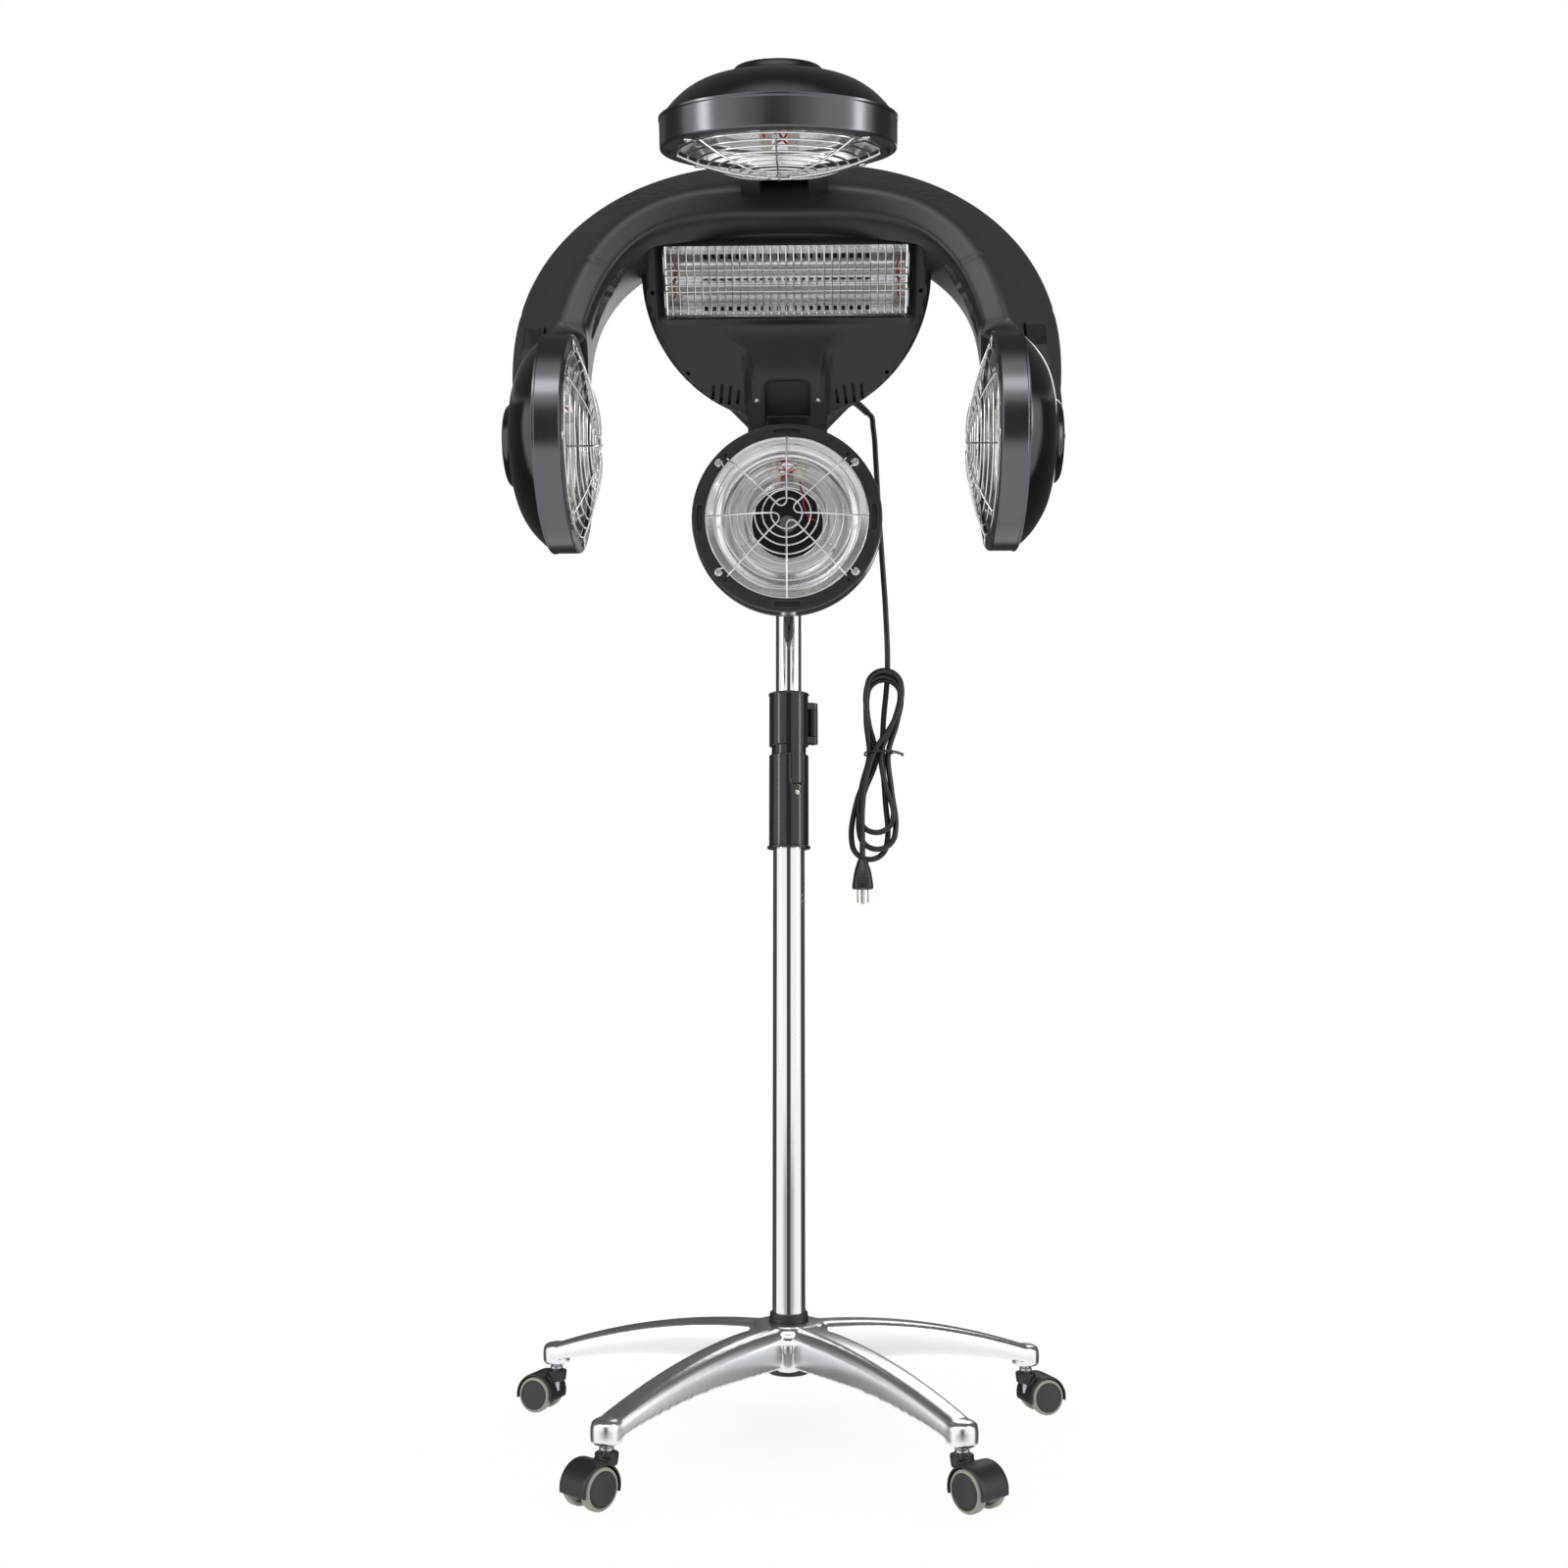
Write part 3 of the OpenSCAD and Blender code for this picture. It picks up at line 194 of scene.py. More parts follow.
def piece(name, shape, material, body, replaces=(), crisp=35, edge=0.0):
    """Object from a shape in mm: doubles merged, faces turned outwards, edges sharper than `crisp` degrees kept.
    `edge` rounds those edges by that many mm. It rides on a body and may stand for CAD nodes. All but the casters
    is drawn over casters 9 mm taller than these, so it is lowered by that: point + on_casters."""
    mesh = bpy.data.meshes.new(name)
    lowered = np.asarray(shape[0]) + (0 if body.startswith("caster") else on_casters)
    mesh.from_pydata((lowered * 0.001).tolist(), [], face_lists(shape))
    work = bmesh.new()
    work.from_mesh(mesh)
    bmesh.ops.remove_doubles(work, verts=work.verts, dist=2e-6)
    bmesh.ops.recalc_face_normals(work, faces=work.faces)
    work.to_mesh(mesh)
    work.free()
    mesh.polygons.foreach_set("use_smooth", np.ones(len(mesh.polygons), bool))
    mesh.set_sharp_from_angle(angle=np.radians(crisp))
    mesh.materials.append(material)
    made = linked(name, mesh)
    if edge:
        round_edges = made.modifiers.new("rounded_edges", "BEVEL")
        round_edges.width, round_edges.segments, round_edges.limit_method = edge / 1000, 2, "ANGLE"
        round_edges.angle_limit = np.radians(crisp)
    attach(made, body)
    if replaces:
        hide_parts(*replaces)
    return made


# PVC compound, extruded and moulded: black, a soft sheen, and a skin slightly dulled by handling.
pvc = finish_of("black_pvc", "#131314", 0.36, grain=0.5, relief=0.01, tint="#1c1c1d")

relief_root = np.array([65, 20, 1277.5])
relief_way = np.array([0.74943, 0.24350, -0.61566])
relief_l = 48
relief_end = relief_root + relief_l * relief_way
boot_s = np.linspace(-7, relief_l, 160)
boot_r = np.where(boot_s < 6, 5.5, 5.5 - (boot_s - 6) / (relief_l - 6))
boot_r -= 0.55 * (boot_s > 8) * (np.cos(boot_s * 1.4) > 0.55)
boot = piece("cord_boot", tube(relief_root + boot_s[:, None] * relief_way, boot_r, 24), pvc, "hood",
             ["strain_relief"], crisp=60)

arc = np.radians(np.linspace(0, 180, 9))


def lobe(x, z, r, y, up):
    """Half circle of a loop's fold, from right to left below (up = -1), or from left to right above (up = 1)."""
    v = arc if up < 0 else np.pi - arc
    return np.stack([x + r * np.cos(v), np.full_like(v, y), z + up * r * np.sin(v)], 1)


drop = [relief_end, relief_end + 6 * relief_way, [108, 37, 1231], [110, 41, 1215], [111, 43, 1196], [112, 43, 1175],
        [113, 43, 1150], [114, 43, 1125], [115.5, 43, 1100], [117, 43, 1075], [118.5, 43, 1050], [120, 43, 1025],
        [121.5, 43, 1000], [122.5, 43, 975], [123.5, 44, 950], [124, 47.5, 930], [124, 53, 912]]
strands = [
    drop, [[123, 53.8, 895], [118.5, 53.8, 850], [116.5, 53.8, 805], [119.5, 53.8, 750]],
    lobe(99.5, 694.5, 22, 53.8, -1),
    [[84, 53.8, 745], [104.5, 53.8, 800], [99, 48.5, 845]], lobe(119, 878, 21.2, 46.6, 1),
    [[135, 46.6, 845], [123.5, 46.6, 805], [127, 46.6, 760]], lobe(109, 707, 22.5, 46.6, -1),
    [[92, 46.6, 752], [108.5, 46.6, 800], [99, 41.2, 845]], lobe(117.5, 882, 21.2, 39.4, 1),
    [[131, 39.4, 845], [114.5, 39.4, 805], [119, 39.4, 765]], lobe(107.5, 726, 21.5, 39.4, -1),
    [[90, 39.4, 762], [99.5, 39.4, 800], [96, 34, 845]], lobe(119, 887, 21.3, 32.2, 1),
    [[131, 32.2, 845], [106, 32.2, 805], [94, 32.2, 765], [90, 32.2, 730], [90, 32, 700], [90, 32, 668]],
]
cord_path = curve_through(np.concatenate([np.asarray(s, float) for s in strands]), 3.0)
cord = piece("mains_cord", tube(cord_path, 3.5, 12), pvc, "hood", ["power_cord", "cord_hank"])

turn = np.linspace(0, 2 * np.pi, 60, endpoint=False)
tie_loop = np.stack([111.3 + 17.2 * squared(np.cos(turn), 0.45), 43 + 15.3 * squared(np.sin(turn), 0.45),
                     805 + 1.2 * np.cos(turn)], 1)
tail = np.linspace(0, 1, 40)
tails = [tube(np.stack([128 + 14 * tail, 40 + side * 1.3 * np.cos(9 * tail) - 4 * tail,
                        806 + side * 1.3 * np.sin(9 * tail) - 5 * tail**2], 1), 0.9, 8) for side in (-1, 1)]
tie = piece("twist_tie", joined(tube(tie_loop, 1.3, 8, closed=True), *tails), pvc, "hood")

# Nickel-plated brass pins: pale, hard and clean.
nickel = finish_of("nickel_plated_brass", "#cfcac0", 0.2, 1.0, grain=1.5, relief=0.004)

plug_z = np.array([672, 670, 668, 662, 660, 654, 650, 644, 640, 637, 634.8, 634])
plug_half = np.array([4.4, 5.6, 6.6, 8.2, 9.2, 10.6, 11.3, 12.2, 12.8, 13, 12.9, 12.2])
corner = np.linspace(0, 2 * np.pi, 48, endpoint=False)
plug_x = 90 + plug_half[:, None] * squared(np.cos(corner), 0.7)
plug_y = 32 + plug_half[:, None] * 0.94 * squared(np.sin(corner), 0.7)
plug_skin = np.stack([plug_x, plug_y, np.repeat(plug_z[:, None], 48, 1)], -1)
plug_skin = np.concatenate([np.tile([90, 32, 672.0], (1, 48, 1)), plug_skin, np.tile([90, 32, 634.0], (1, 48, 1))])
grips = [tube(np.array([[82.5, 32 - 10.9 - 0.13 * k, z], [97.5, 32 - 10.9 - 0.13 * k, z]]), 0.8, 8)
         for k, z in enumerate([646, 643, 640])]
plug = piece("plug_body", joined(skin(plug_skin), *grips),
             pvc, "hood", ["power_plug"], crisp=50)


def block(low, high):
    """Box between two corners: the eight corners as low + bits * (high - low), and its six sides."""
    bits = np.array([[i >> 2 & 1, i >> 1 & 1, i & 1] for i in range(8)])
    return (np.asarray(low) + bits * (np.asarray(high, float) - low),
            np.array([[0, 1, 3, 2], [4, 6, 7, 5], [0, 4, 5, 1], [2, 3, 7, 6], [0, 2, 6, 4], [1, 5, 7, 3]]))


blades = [block([90 + side * 6.35 - 0.75, 26, 617], [90 + side * 6.35 + 0.75, 32.3, 635]) for side in (-1, 1)]
earth = tube([[90, 37, z] for z in (635, 620, 617, 615.3)], [2.4, 2.4, 2.2, 1.2], 16)
pins = piece("plug_pins", joined(*blades, earth), nickel, "hood", edge=0.25)


# ---- Star base ----
# One gravity casting in aluminium, ground and polished bright: five legs, hollow underneath like an upturned
# channel, run from a hub down to round ends, and all their junctions are soft fillets.
polished_aluminium = finish_of("polished_cast_aluminium", "#e6e8ea", 0.25, 1.0, grain=2.2, relief=0.008, patches=0.04)

leg_turns = np.radians(90 + 72 * np.arange(5))
stem_circle = 298
out_r = np.linspace(16, 304, 60)
back_z = 132 - 44 * (np.maximum(out_r - 40, 0) / 258) ** 2
belly_z = 90.5 - 16 * (np.maximum(out_r - 118, 0) / 157) ** 2
half_w = 25 - 8.5 * (out_r - 16) / 282
profile_v = np.radians(np.linspace(-90, 90, 33))


def channel(r, top, low, half, wall):
    """Section of a leg at each r: outside (half sgn(sin v) |sin v|^0.5, low + (top - low) |cos v|^0.55), then the
    same line back on the inside, a wall nearer the middle."""
    s, c = np.sin(profile_v), np.cos(profile_v)
    lines = []
    for half_k, top_k, flip in ((half, top, 1), (half - wall, top - wall, -1)):
        y = half_k[:, None] * squared(s, 0.5)[None, ::flip]
        z = low[:, None] + (top_k - low)[:, None] * (np.abs(c) ** 0.55)[None, ::flip]
        lines.append(np.stack([np.repeat(r[:, None], len(s), 1), y, z], -1))
    return np.concatenate(lines, 1)


def turned(points, angle):
    """Points turned about the column: (x cos a - y sin a, x sin a + y cos a, z)."""
    x, y, z = np.asarray(points).T
    return np.stack([x * np.cos(angle) - y * np.sin(angle), x * np.sin(angle) + y * np.cos(angle), z], 1)


def moved(shape, by=(0, 0, 0), turn=0.0):
    """Shape moved by a step and then turned about the column: turned(p + by, turn)."""
    return turned(np.asarray(shape[0]) + by, turn), shape[1]


def lathe(line, sides=96, wrap=False):
    """Turned surface: each (r, z) of the line goes round as (r cos v, r sin v, z)."""
    line = np.asarray(line, float)
    v = np.linspace(0, 2 * np.pi, sides, endpoint=False)
    return skin(polar(line[:, :1], v, line[:, 1:]), wrap)


def eased(line, radius, wrap=False, steps=5):
    """Line with its corners eased: corner p becomes (1-t)^2 a + 2t(1-t) p + t^2 b, with a and b at most radius,
    or 0.45 of a side, away from it along its two sides."""
    p = np.asarray(line, float)
    before, after = np.roll(p, 1, 0), np.roll(p, -1, 0)
    ends = []
    for q in (before, after):
        length = np.linalg.norm(q - p, axis=1)[:, None]
        ends.append(p + (q - p) * np.minimum(radius / np.maximum(length, 1e-9), 0.45))
    t = np.linspace(0, 1, steps)[None, :, None]
    soft = (1 - t) ** 2 * ends[0][:, None] + 2 * t * (1 - t) * p[:, None] + t**2 * ends[1][:, None]
    if wrap:
        return soft.reshape(-1, p.shape[1])
    return np.concatenate([p[:1], soft[1:-1].reshape(-1, p.shape[1]), p[-1:]])


def numbers_of(items, key):
    """Three numbers each of a mesh's points or faces, as rows."""
    values = np.empty(len(items) * 3)
    items.foreach_get(key, values)
    return values.reshape(-1, 3)


def fused(name, shape, voxel, rounds, material, body, replaces=(), crisp=60):
    """Shapes that run into each other, fused on a voxel grid of that many mm and smoothed for so many rounds, in
    which each point goes half way to the mean of its neighbours. That makes the soft fillets of a casting."""
    made = piece(name, shape, material, body, replaces, crisp)
    fuse = made.modifiers.new("fuse", "REMESH")
    fuse.mode, fuse.voxel_size, fuse.use_smooth_shade = "VOXEL", voxel / 1000, True
    soften = made.modifiers.new("soften", "SMOOTH")
    soften.factor, soften.iterations = 0.5, rounds
    solid = bpy.data.meshes.new_from_object(made.evaluated_get(bpy.context.evaluated_depsgraph_get()))
    made.modifiers.clear()
    made.data = solid
    solid.name = name
    solid.polygons.foreach_set("use_smooth", np.ones(len(solid.polygons), bool))
    return made


leg_skin = channel(out_r, back_z, belly_z, half_w, 5.0)
one_leg = skin(leg_skin, caps=2)
end_boss = lathe([[0, 65], [14.6, 65], [15.8, 66.5], [16.4, 72], [16.5, 80], [15.2, 85.4], [11, 88], [0, 89.6]], 48)
end_boss = moved(end_boss, [stem_circle, 0, 0])
hub = lathe([[0, 83], [22, 82.5], [30, 84], [36, 92], [41, 104], [44, 118], [43, 129], [38, 132.6], [20, 133.4],
             [0, 133.4]], 64)
knuckle = lathe([[0, 86], [12, 86], [14.5, 90], [15, 114], [12.5, 121], [0, 124]], 40)
legs = [moved(shape, turn=a) for a in leg_turns for shape in (one_leg, end_boss)]
legs += [moved(knuckle, [36, 0, 0], a + np.radians(36)) for a in leg_turns]
fused("star_base_casting", joined(hub, *legs), 2.0, 6, polished_aluminium, "base", ["star_base"])

# Black nylon trim: the collar round the foot of the tube and the plug under the hub.
black_nylon = finish_of("moulded_black_nylon", "#18191a", 0.42, grain=0.7, relief=0.02, tint="#222324")
collar_line = eased([[19.1, 133.4], [22.8, 133.4], [22.8, 138], [21.9, 138.5], [21.9, 143], [19.1, 143]], 0.7, True)
cap_line = [[0, 76], [22, 76], [24.2, 77.2], [24.5, 79], [24.5, 82.2], [0, 82.2]]
piece("hub_collar_and_cap", joined(lathe(collar_line, 96, True), lathe(cap_line)), black_nylon, "base",
      ["hub_trim"])


# ---- Casters ----
# Twin-wheel furniture casters on steel stems: a glass-filled nylon hood and web, and two wheels with nylon
# discs and soft grey-green tyres, so that they roll quietly on a salon floor.
zinc_steel = finish_of("zinc_plated_steel", "#b9bcc0", 0.28, 1.0, grain=1.2, relief=0.01)
tyre_rubber = finish_of("thermoplastic_rubber_tyre", "#8d9484", 0.5, grain=0.6, relief=0.03, tint="#979e8e")
wheel_nylon = finish_of("wheel_disc_nylon", "#262728", 0.45, grain=0.6, relief=0.03, tint="#2e2f30")

stem_line = eased([[0, 33], [5, 33], [5, 58], [7.4, 58.6], [7.4, 61.5], [5, 62], [5, 79], [0, 79]], 0.4)
stems = [moved(lathe(stem_line, 32), [stem_circle, 0, 0], a) for a in leg_turns]
piece("stems", joined(*stems), zinc_steel, "base", ["caster_stems"])


def to_size(points):
    """A caster drawn with 50 mm wheels and 25 mm of trail, made to 41 mm and 20 mm: (0.82 x - 0.5, 0.854 y, 0.82 z)."""
    return np.asarray(points) * [0.82, 0.854, 0.82] - [0.5, 0, 0]


axle_at = 25          # the axle stands this far behind the stem and this far up
hood_v = np.radians(np.linspace(-12, 196, 70))          # round the axle, from behind the wheels over their top
hood_u = np.linspace(-1, 1, 17)
hood_top = np.where(np.abs(hood_u) > 0.8, 29.4 - 22 * (np.abs(hood_u) - 0.8) ** 2, 29.4)
hood_rings = []
for grow, order in ((0, 1), (-2.4, -1)):
    r = (hood_top + grow)[None, ::order] * np.ones((70, 1))
    across = (22.6 + grow / 4) * hood_u[None, ::order] * np.ones((70, 1))
    hood_rings.append(np.stack([axle_at + r * np.cos(hood_v)[:, None], across,
                                axle_at + r * np.sin(hood_v)[:, None]], -1))
caster_hood = skin(np.concatenate(hood_rings, 1), caps=2)
web_v = np.radians(np.linspace(-20, 200, 50))
web_edge = np.concatenate([arc_about(axle_at, axle_at, 27.8, web_v), [[8, 21], [25, 19], [42, 18]]])


def slab(outline, low, high, axis=1):
    """Plate: an outline of two coordinates drawn square to an axis, from low to high along it, with flat faces."""
    return skin(np.stack([np.insert(np.asarray(outline, float), axis, side, 1) for side in (low, high)]), caps=2)


neck = lathe([[0, 40], [13, 44], [14, 52], [14.5, 57], [14, 58], [10, 58], [9.4, 57], [0, 57]], 40)
fork_solid = joined(caster_hood, slab(web_edge, -8.4, 8.4), neck)
fork = fused("caster_1_hood", fork_solid, 1.1, 4, black_nylon, "caster_1_swivel_body", ["caster_1_fork"])
fork_points = to_size(numbers_of(fork.data.vertices, "co") * 1000)

disc_line = eased([[0, 14.3], [9, 14.0], [17.8, 13.2], [18.6, 14.4], [19.8, 14.4], [20.5, 13.2], [20.5, 0.4],
                   [0, 0.4]], 0.5)
tyre_line = eased([[20.5, 13.6], [22.6, 13.6], [24.6, 11.4], [25, 9], [25, 3], [24, 0.6], [20.5, 0.4]], 0.8, True)
axle_line = [[0, -22.6], [2.4, -22.6], [3, -22], [3, 22], [2.4, 22.6], [0, 22.6]]


def on_axle(shape, side):
    """A wheel part, turned about Z, laid on the axle: (x, y, z) to (25 + x, side (9 + z), 25 + y)."""
    x, y, z = shape[0].T
    return np.stack([axle_at + x, side * (9 + z), axle_at + y], 1), shape[1]


axle = lathe(axle_line, 24)
axle = (np.stack([axle_at + axle[0][:, 0], axle[0][:, 2], axle_at + axle[0][:, 1]], 1), axle[1])
discs = joined(axle, *[on_axle(lathe(disc_line, 72), side) for side in (-1, 1)])
tyres = joined(*[on_axle(lathe(tyre_line, 72, True), side) for side in (-1, 1)])
for i, (leg_turn, trail) in enumerate(zip(leg_turns, np.radians([90, 160, 229, 311, 20]))):
    stand = polar(stem_circle, leg_turn, 0)
    mesh = fork.data.copy() if i else fork.data
    mesh.vertices.foreach_set("co", ((turned(fork_points, trail) + stand) * 0.001).ravel())
    if i:
        copy = linked(f"caster_{i + 1}_hood", mesh)
        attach(copy, f"caster_{i + 1}_swivel_body")
        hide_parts(f"caster_{i + 1}_fork")
    for part, shape, material, slot in (("wheels", discs, wheel_nylon, "black_trim"),
                                        ("treads", tyres, tyre_rubber, "wheel_tread")):
        piece(f"caster_{i + 1}_{part}_turned", (turned(to_size(shape[0]), trail) + stand, shape[1]), material,
              f"caster_{i + 1}_wheel_pair", [f"caster_{i + 1}_{part}"])


# ---- Column ----
# Two telescoping steel tubes, drawn, ground and chromed. The wider one stands in the hub, and the narrower one
# slides in it and carries the hood.
chrome = finish_of("bright_chrome_on_steel", "#e4e6e8", 0.05, 1.0, grain=3.0, relief=0.0015, patches=0.02)
for name, body, inner, outer, rim_r, low, top in (("lower", "base", 17.05, 19.05, 18.5, 90, 790),
                                                  ("upper", "mast", 14, 16, 15.5, 384, 1284)):
    wall = [[inner, low], [outer, low], [outer, top - 0.6], [rim_r, top], [inner, top]]
    piece(f"{name}_column_tube", lathe(wall, 128, True), chrome, body, [f"{name}_tube"])


# ---- Height clamp ----
# A black sleeve over the top of the wide tube and a collar that is keyed into it. A cam lever pulls the
# collar's split shut on the narrow tube. Both are enamelled aluminium tube, glossier than the plastics.
black_enamel = finish_of("stoved_black_enamel", "#1b1c1d", 0.17, grain=1.6, relief=0.01, tint="#242526")
lever_nylon = finish_of("moulded_lever_nylon", "#141516", 0.34, grain=0.7, relief=0.02)

key_v, round_v = np.radians(-63), np.linspace(-np.pi, np.pi, 260, endpoint=False)
sleeve_z = np.linspace(684, 794, 140)
across = (round_v - key_v)[None, :] * 24 * np.ones((140, 1))
down = (794 - sleeve_z)[:, None] * np.ones((1, 260))
corner_x, corner_y = np.maximum(np.abs(across) - 5, 0), np.maximum(down - 33, 0)
key_edge = np.hypot(corner_x, corner_y) - 3.6            # under 0 inside the key's rounded outline, in mm
sleeve_r = 24 - 1.1 * np.exp(-(key_edge / 0.75) ** 2)
rim = np.array([[19.06, 680], [25.6, 680], [26.2, 681], [26, 683], [24.4, 684]])
lip = np.array([[23.4, 794.6], [19.06, 794.6]])
sleeve_rows = np.concatenate([polar(rim[:, :1], round_v, rim[:, 1:]), polar(sleeve_r, round_v, sleeve_z[:, None]),
                              polar(lip[:, :1], round_v, lip[:, 1:])])
piece("sleeve_tube", skin(sleeve_rows, True), black_enamel, "base", ["clamp_sleeve"], crisp=45)


def screw_head(at, facing, radius, height):
    """Pan head with a crossed recess: height (1 - (q/radius)^3) over the face, less a dip of 0.55 height where
    |x| or |y| is under 0.2 radius within 0.62 radius of the middle."""
    facing = np.asarray(facing, float) / np.linalg.norm(facing)
    a = np.cross(facing, np.eye(3)[np.abs(facing).argmin()])
    a /= np.linalg.norm(a)
    b = np.cross(facing, a)
    q, v = np.meshgrid(np.linspace(0, radius, 18), np.linspace(0, 2 * np.pi, 56, endpoint=False), indexing="ij")
    x, y = q * np.cos(v), q * np.sin(v)
    recess = (np.minimum(np.abs(x), np.abs(y)) < 0.2 * radius) & (q < 0.62 * radius)
    z = height * (1 - (q / radius) ** 3) - 0.55 * height * recess
    points = np.asarray(at, float) + x[..., None] * a + y[..., None] * b + z[..., None] * facing
    foot = np.asarray(at, float) + x[-1, :, None] * a + y[-1, :, None] * b - 0.5 * facing
    rows = np.concatenate([points, foot[None], np.tile(np.asarray(at, float) - 0.5 * facing, (1, 56, 1))])
    return skin(rows)


key_way = polar(1, key_v + 0.02, 0)
piece("sleeve_screw", screw_head(key_way * 24 + [0, 0, 747], key_way, 3.4, 1.4), nickel, "base")

collar_line = eased([[16.06, 794.8], [21, 794.8], [21, 805.8], [24, 806.2], [24, 868.5], [25, 869.6], [25, 871],
                     [16.06, 871]], 0.6, True)
lug_turn = np.radians(20)
ears = [lathe([[0, z], [6.4, z], [6.4, z + 8], [0, z + 8]], 32) for z in (810.7, 853.3)]
pin = lathe(eased([[0, 809.6], [2.6, 809.6], [3, 810], [3, 862], [2.6, 862.4], [0, 862.4]], 0.3), 24)
lug_blocks = [block([20, -6.4, z], [31, 6.4, z + 8]) for z in (810.7, 853.3)]
ears = [moved(e, [31, 0, 0], lug_turn) for e in (*ears, pin)] + [moved(e, turn=lug_turn) for e in lug_blocks]
tongue_v = key_v + np.linspace(-8.2, 8.2, 18) / 24
tongue_rows = [polar(r, tongue_v, z) for r, z in ((23.3, 762), (23.9, 763), (23.9, 806.4), (20, 806.4), (20, 762))]
tongue = (np.concatenate(tongue_rows), grid_faces(5, 18, True, False).tolist()
          + [[18 * k for k in range(5)][::-1], [18 * k + 17 for k in range(5)]])
piece("collar_tube", joined(lathe(collar_line, 160, True), tongue, *ears), black_enamel, "base",
      ["clamp_collar"], edge=0.5)

lever_v = np.radians(np.linspace(21, 112, 60))
reach_v = np.linspace(0, 1, 60)
lever_half = 17 - 3.5 * reach_v - 6 * np.maximum(reach_v - 0.9, 0) / 0.1
lever_out = 30.6 + 3.2 * np.exp(-((reach_v - 1) / 0.16) ** 2)
turn_v = np.linspace(0, 2 * np.pi, 28, endpoint=False)
box_c, box_s = squared(np.cos(turn_v), 0.45), squared(np.sin(turn_v), 0.45)
lever_r = (lever_out + 25.7)[:, None] / 2 + (lever_out - 25.7)[:, None] / 2 * box_c
lever_skin = skin(polar(lever_r, lever_v[:, None], 836 + lever_half[:, None] * box_s), caps=2)
cam = moved(lathe(eased([[0, 819], [6.4, 819], [6.4, 853], [0, 853]], 0.8), 32), [31, 0, 0], lug_turn)
piece("cam_lever", joined(lever_skin, cam), lever_nylon, "clamp_lever_arm", ["clamp_lever"], crisp=45)


# ---- Hood covers ----
# Two injection-moulded shells of black ABS with a fine spark-eroded grain. The front one is a shield with the
# heater's raised frame, a trunk that runs into the nape bracket, and louvres. The rear one swells round the
# wiring and narrows to a neck on the column.
black_abs = finish_of("grained_black_abs", "#1b1c1d", 0.4, grain=0.55, relief=0.035, patches=0.05, tint="#222324")
steel_socket = finish_of("turned_steel", "#8f9296", 0.35, 1.0, grain=1.0, relief=0.01)
for node in ("swivel_socket", "hinge_pins"):
    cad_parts[node].data.materials.clear()
    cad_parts[node].data.materials.append(steel_socket)


def spin(*turns):
    """Turning matrix from (axis, degrees) pairs, the last one first."""
    m = np.eye(3)
    for axis, degrees in turns:
        m = m @ np.array(Matrix.Rotation(np.radians(degrees), 3, axis))
    return m


cover_spin, cover_mid = spin(("X", 125.3)), np.array([0, -140, 1312.0])
heater_up, heater_half_w, heater_half_h = 25.5, 142, 41      # the heater's opening in the front cover


def placed(shape, turning, middle):
    """Shape turned by a matrix and moved to a middle: p @ turning.T + middle."""
    return np.asarray(shape[0]) @ turning.T + middle, shape[1]


def on_cover(shape):
    """Shape drawn with X across, Y up the cover and Z out of its face, put where the cover is."""
    return placed(shape, cover_spin, cover_mid)


def step(x):
    """0 below 0, 1 above 1, and x^2 (3 - 2x) between."""
    x = np.clip(x, 0, 1)
    return x * x * (3 - 2 * x)


def past_box(x, y, half_x, half_y, r=0.0):
    """Distance outside a rectangle of those half sizes, whose corners have radius r; under 0 inside."""
    qx, qy = np.abs(x) - half_x + r, np.abs(y) - half_y + r
    return np.hypot(np.maximum(qx, 0), np.maximum(qy, 0)) + np.minimum(np.maximum(qx, qy), 0) - r


def past_mouth(x, s):
    """Distance outside the opening between the struts, which is open downwards."""
    return past_box(x, s + 148, 27, 60, 11)


def shield_edge(x, s):
    """Distance inside the shield, the overlap of a circle of 170 about (0, 30) and one of 515 about (0, -409)."""
    return np.minimum(170 - np.hypot(x, s - 30), 515 - np.hypot(x, s + 409))


def cover_height(x, s):
    """Height of the cover's face: a rounded rim of radius 4, a raised heater frame, and the trunk, whose height
    grows downwards to 14 mm and whose sides are fillets between the trunk's edge and 13 mm beyond it."""
    rim = np.clip(4 - shield_edge(x, s), 0, 4)
    heater = 6 * step(0.5 - past_box(x, s - heater_up, heater_half_w + 5, heater_half_h + 5, 7) / 7)
    trunk_half = 43 + 26 * step((s + 62) / 34)
    trunk = 14 * step((-24 - s) / 62) * step((trunk_half + 11 - np.abs(x)) / 13)
    lip = np.clip(2 - past_mouth(x, s), 0, 2)
    return heater + trunk - (4 - np.sqrt(16 - rim**2)) - (2 - np.sqrt(4 - lip**2)) * (s < -80)


def ring_round(x, y, half_x, half_y, r, tilt=0.0, per_corner=6, per_side=2):
    """Outline of a rounded rectangle about (x, y), tilted by so many degrees: four quarter circles of radius r and
    points along its sides."""
    v = np.radians(np.linspace(0, 90, per_corner))
    corners = [arc_about(sx * (half_x - r), sy * (half_y - r), r, v + q)
               for sx, sy, q in ((1, 1, 0), (-1, 1, np.pi / 2), (-1, -1, np.pi), (1, -1, 3 * np.pi / 2))]
    line = []
    for c, after in zip(corners, corners[1:] + corners[:1]):
        line += [c, c[-1] + (after[0] - c[-1]) * np.linspace(0, 1, per_side + 1)[1:-1, None]]
    p, t = np.concatenate(line), np.radians(tilt)
    return p @ np.array([[np.cos(t), np.sin(t)], [-np.sin(t), np.cos(t)]]) + [x, y]


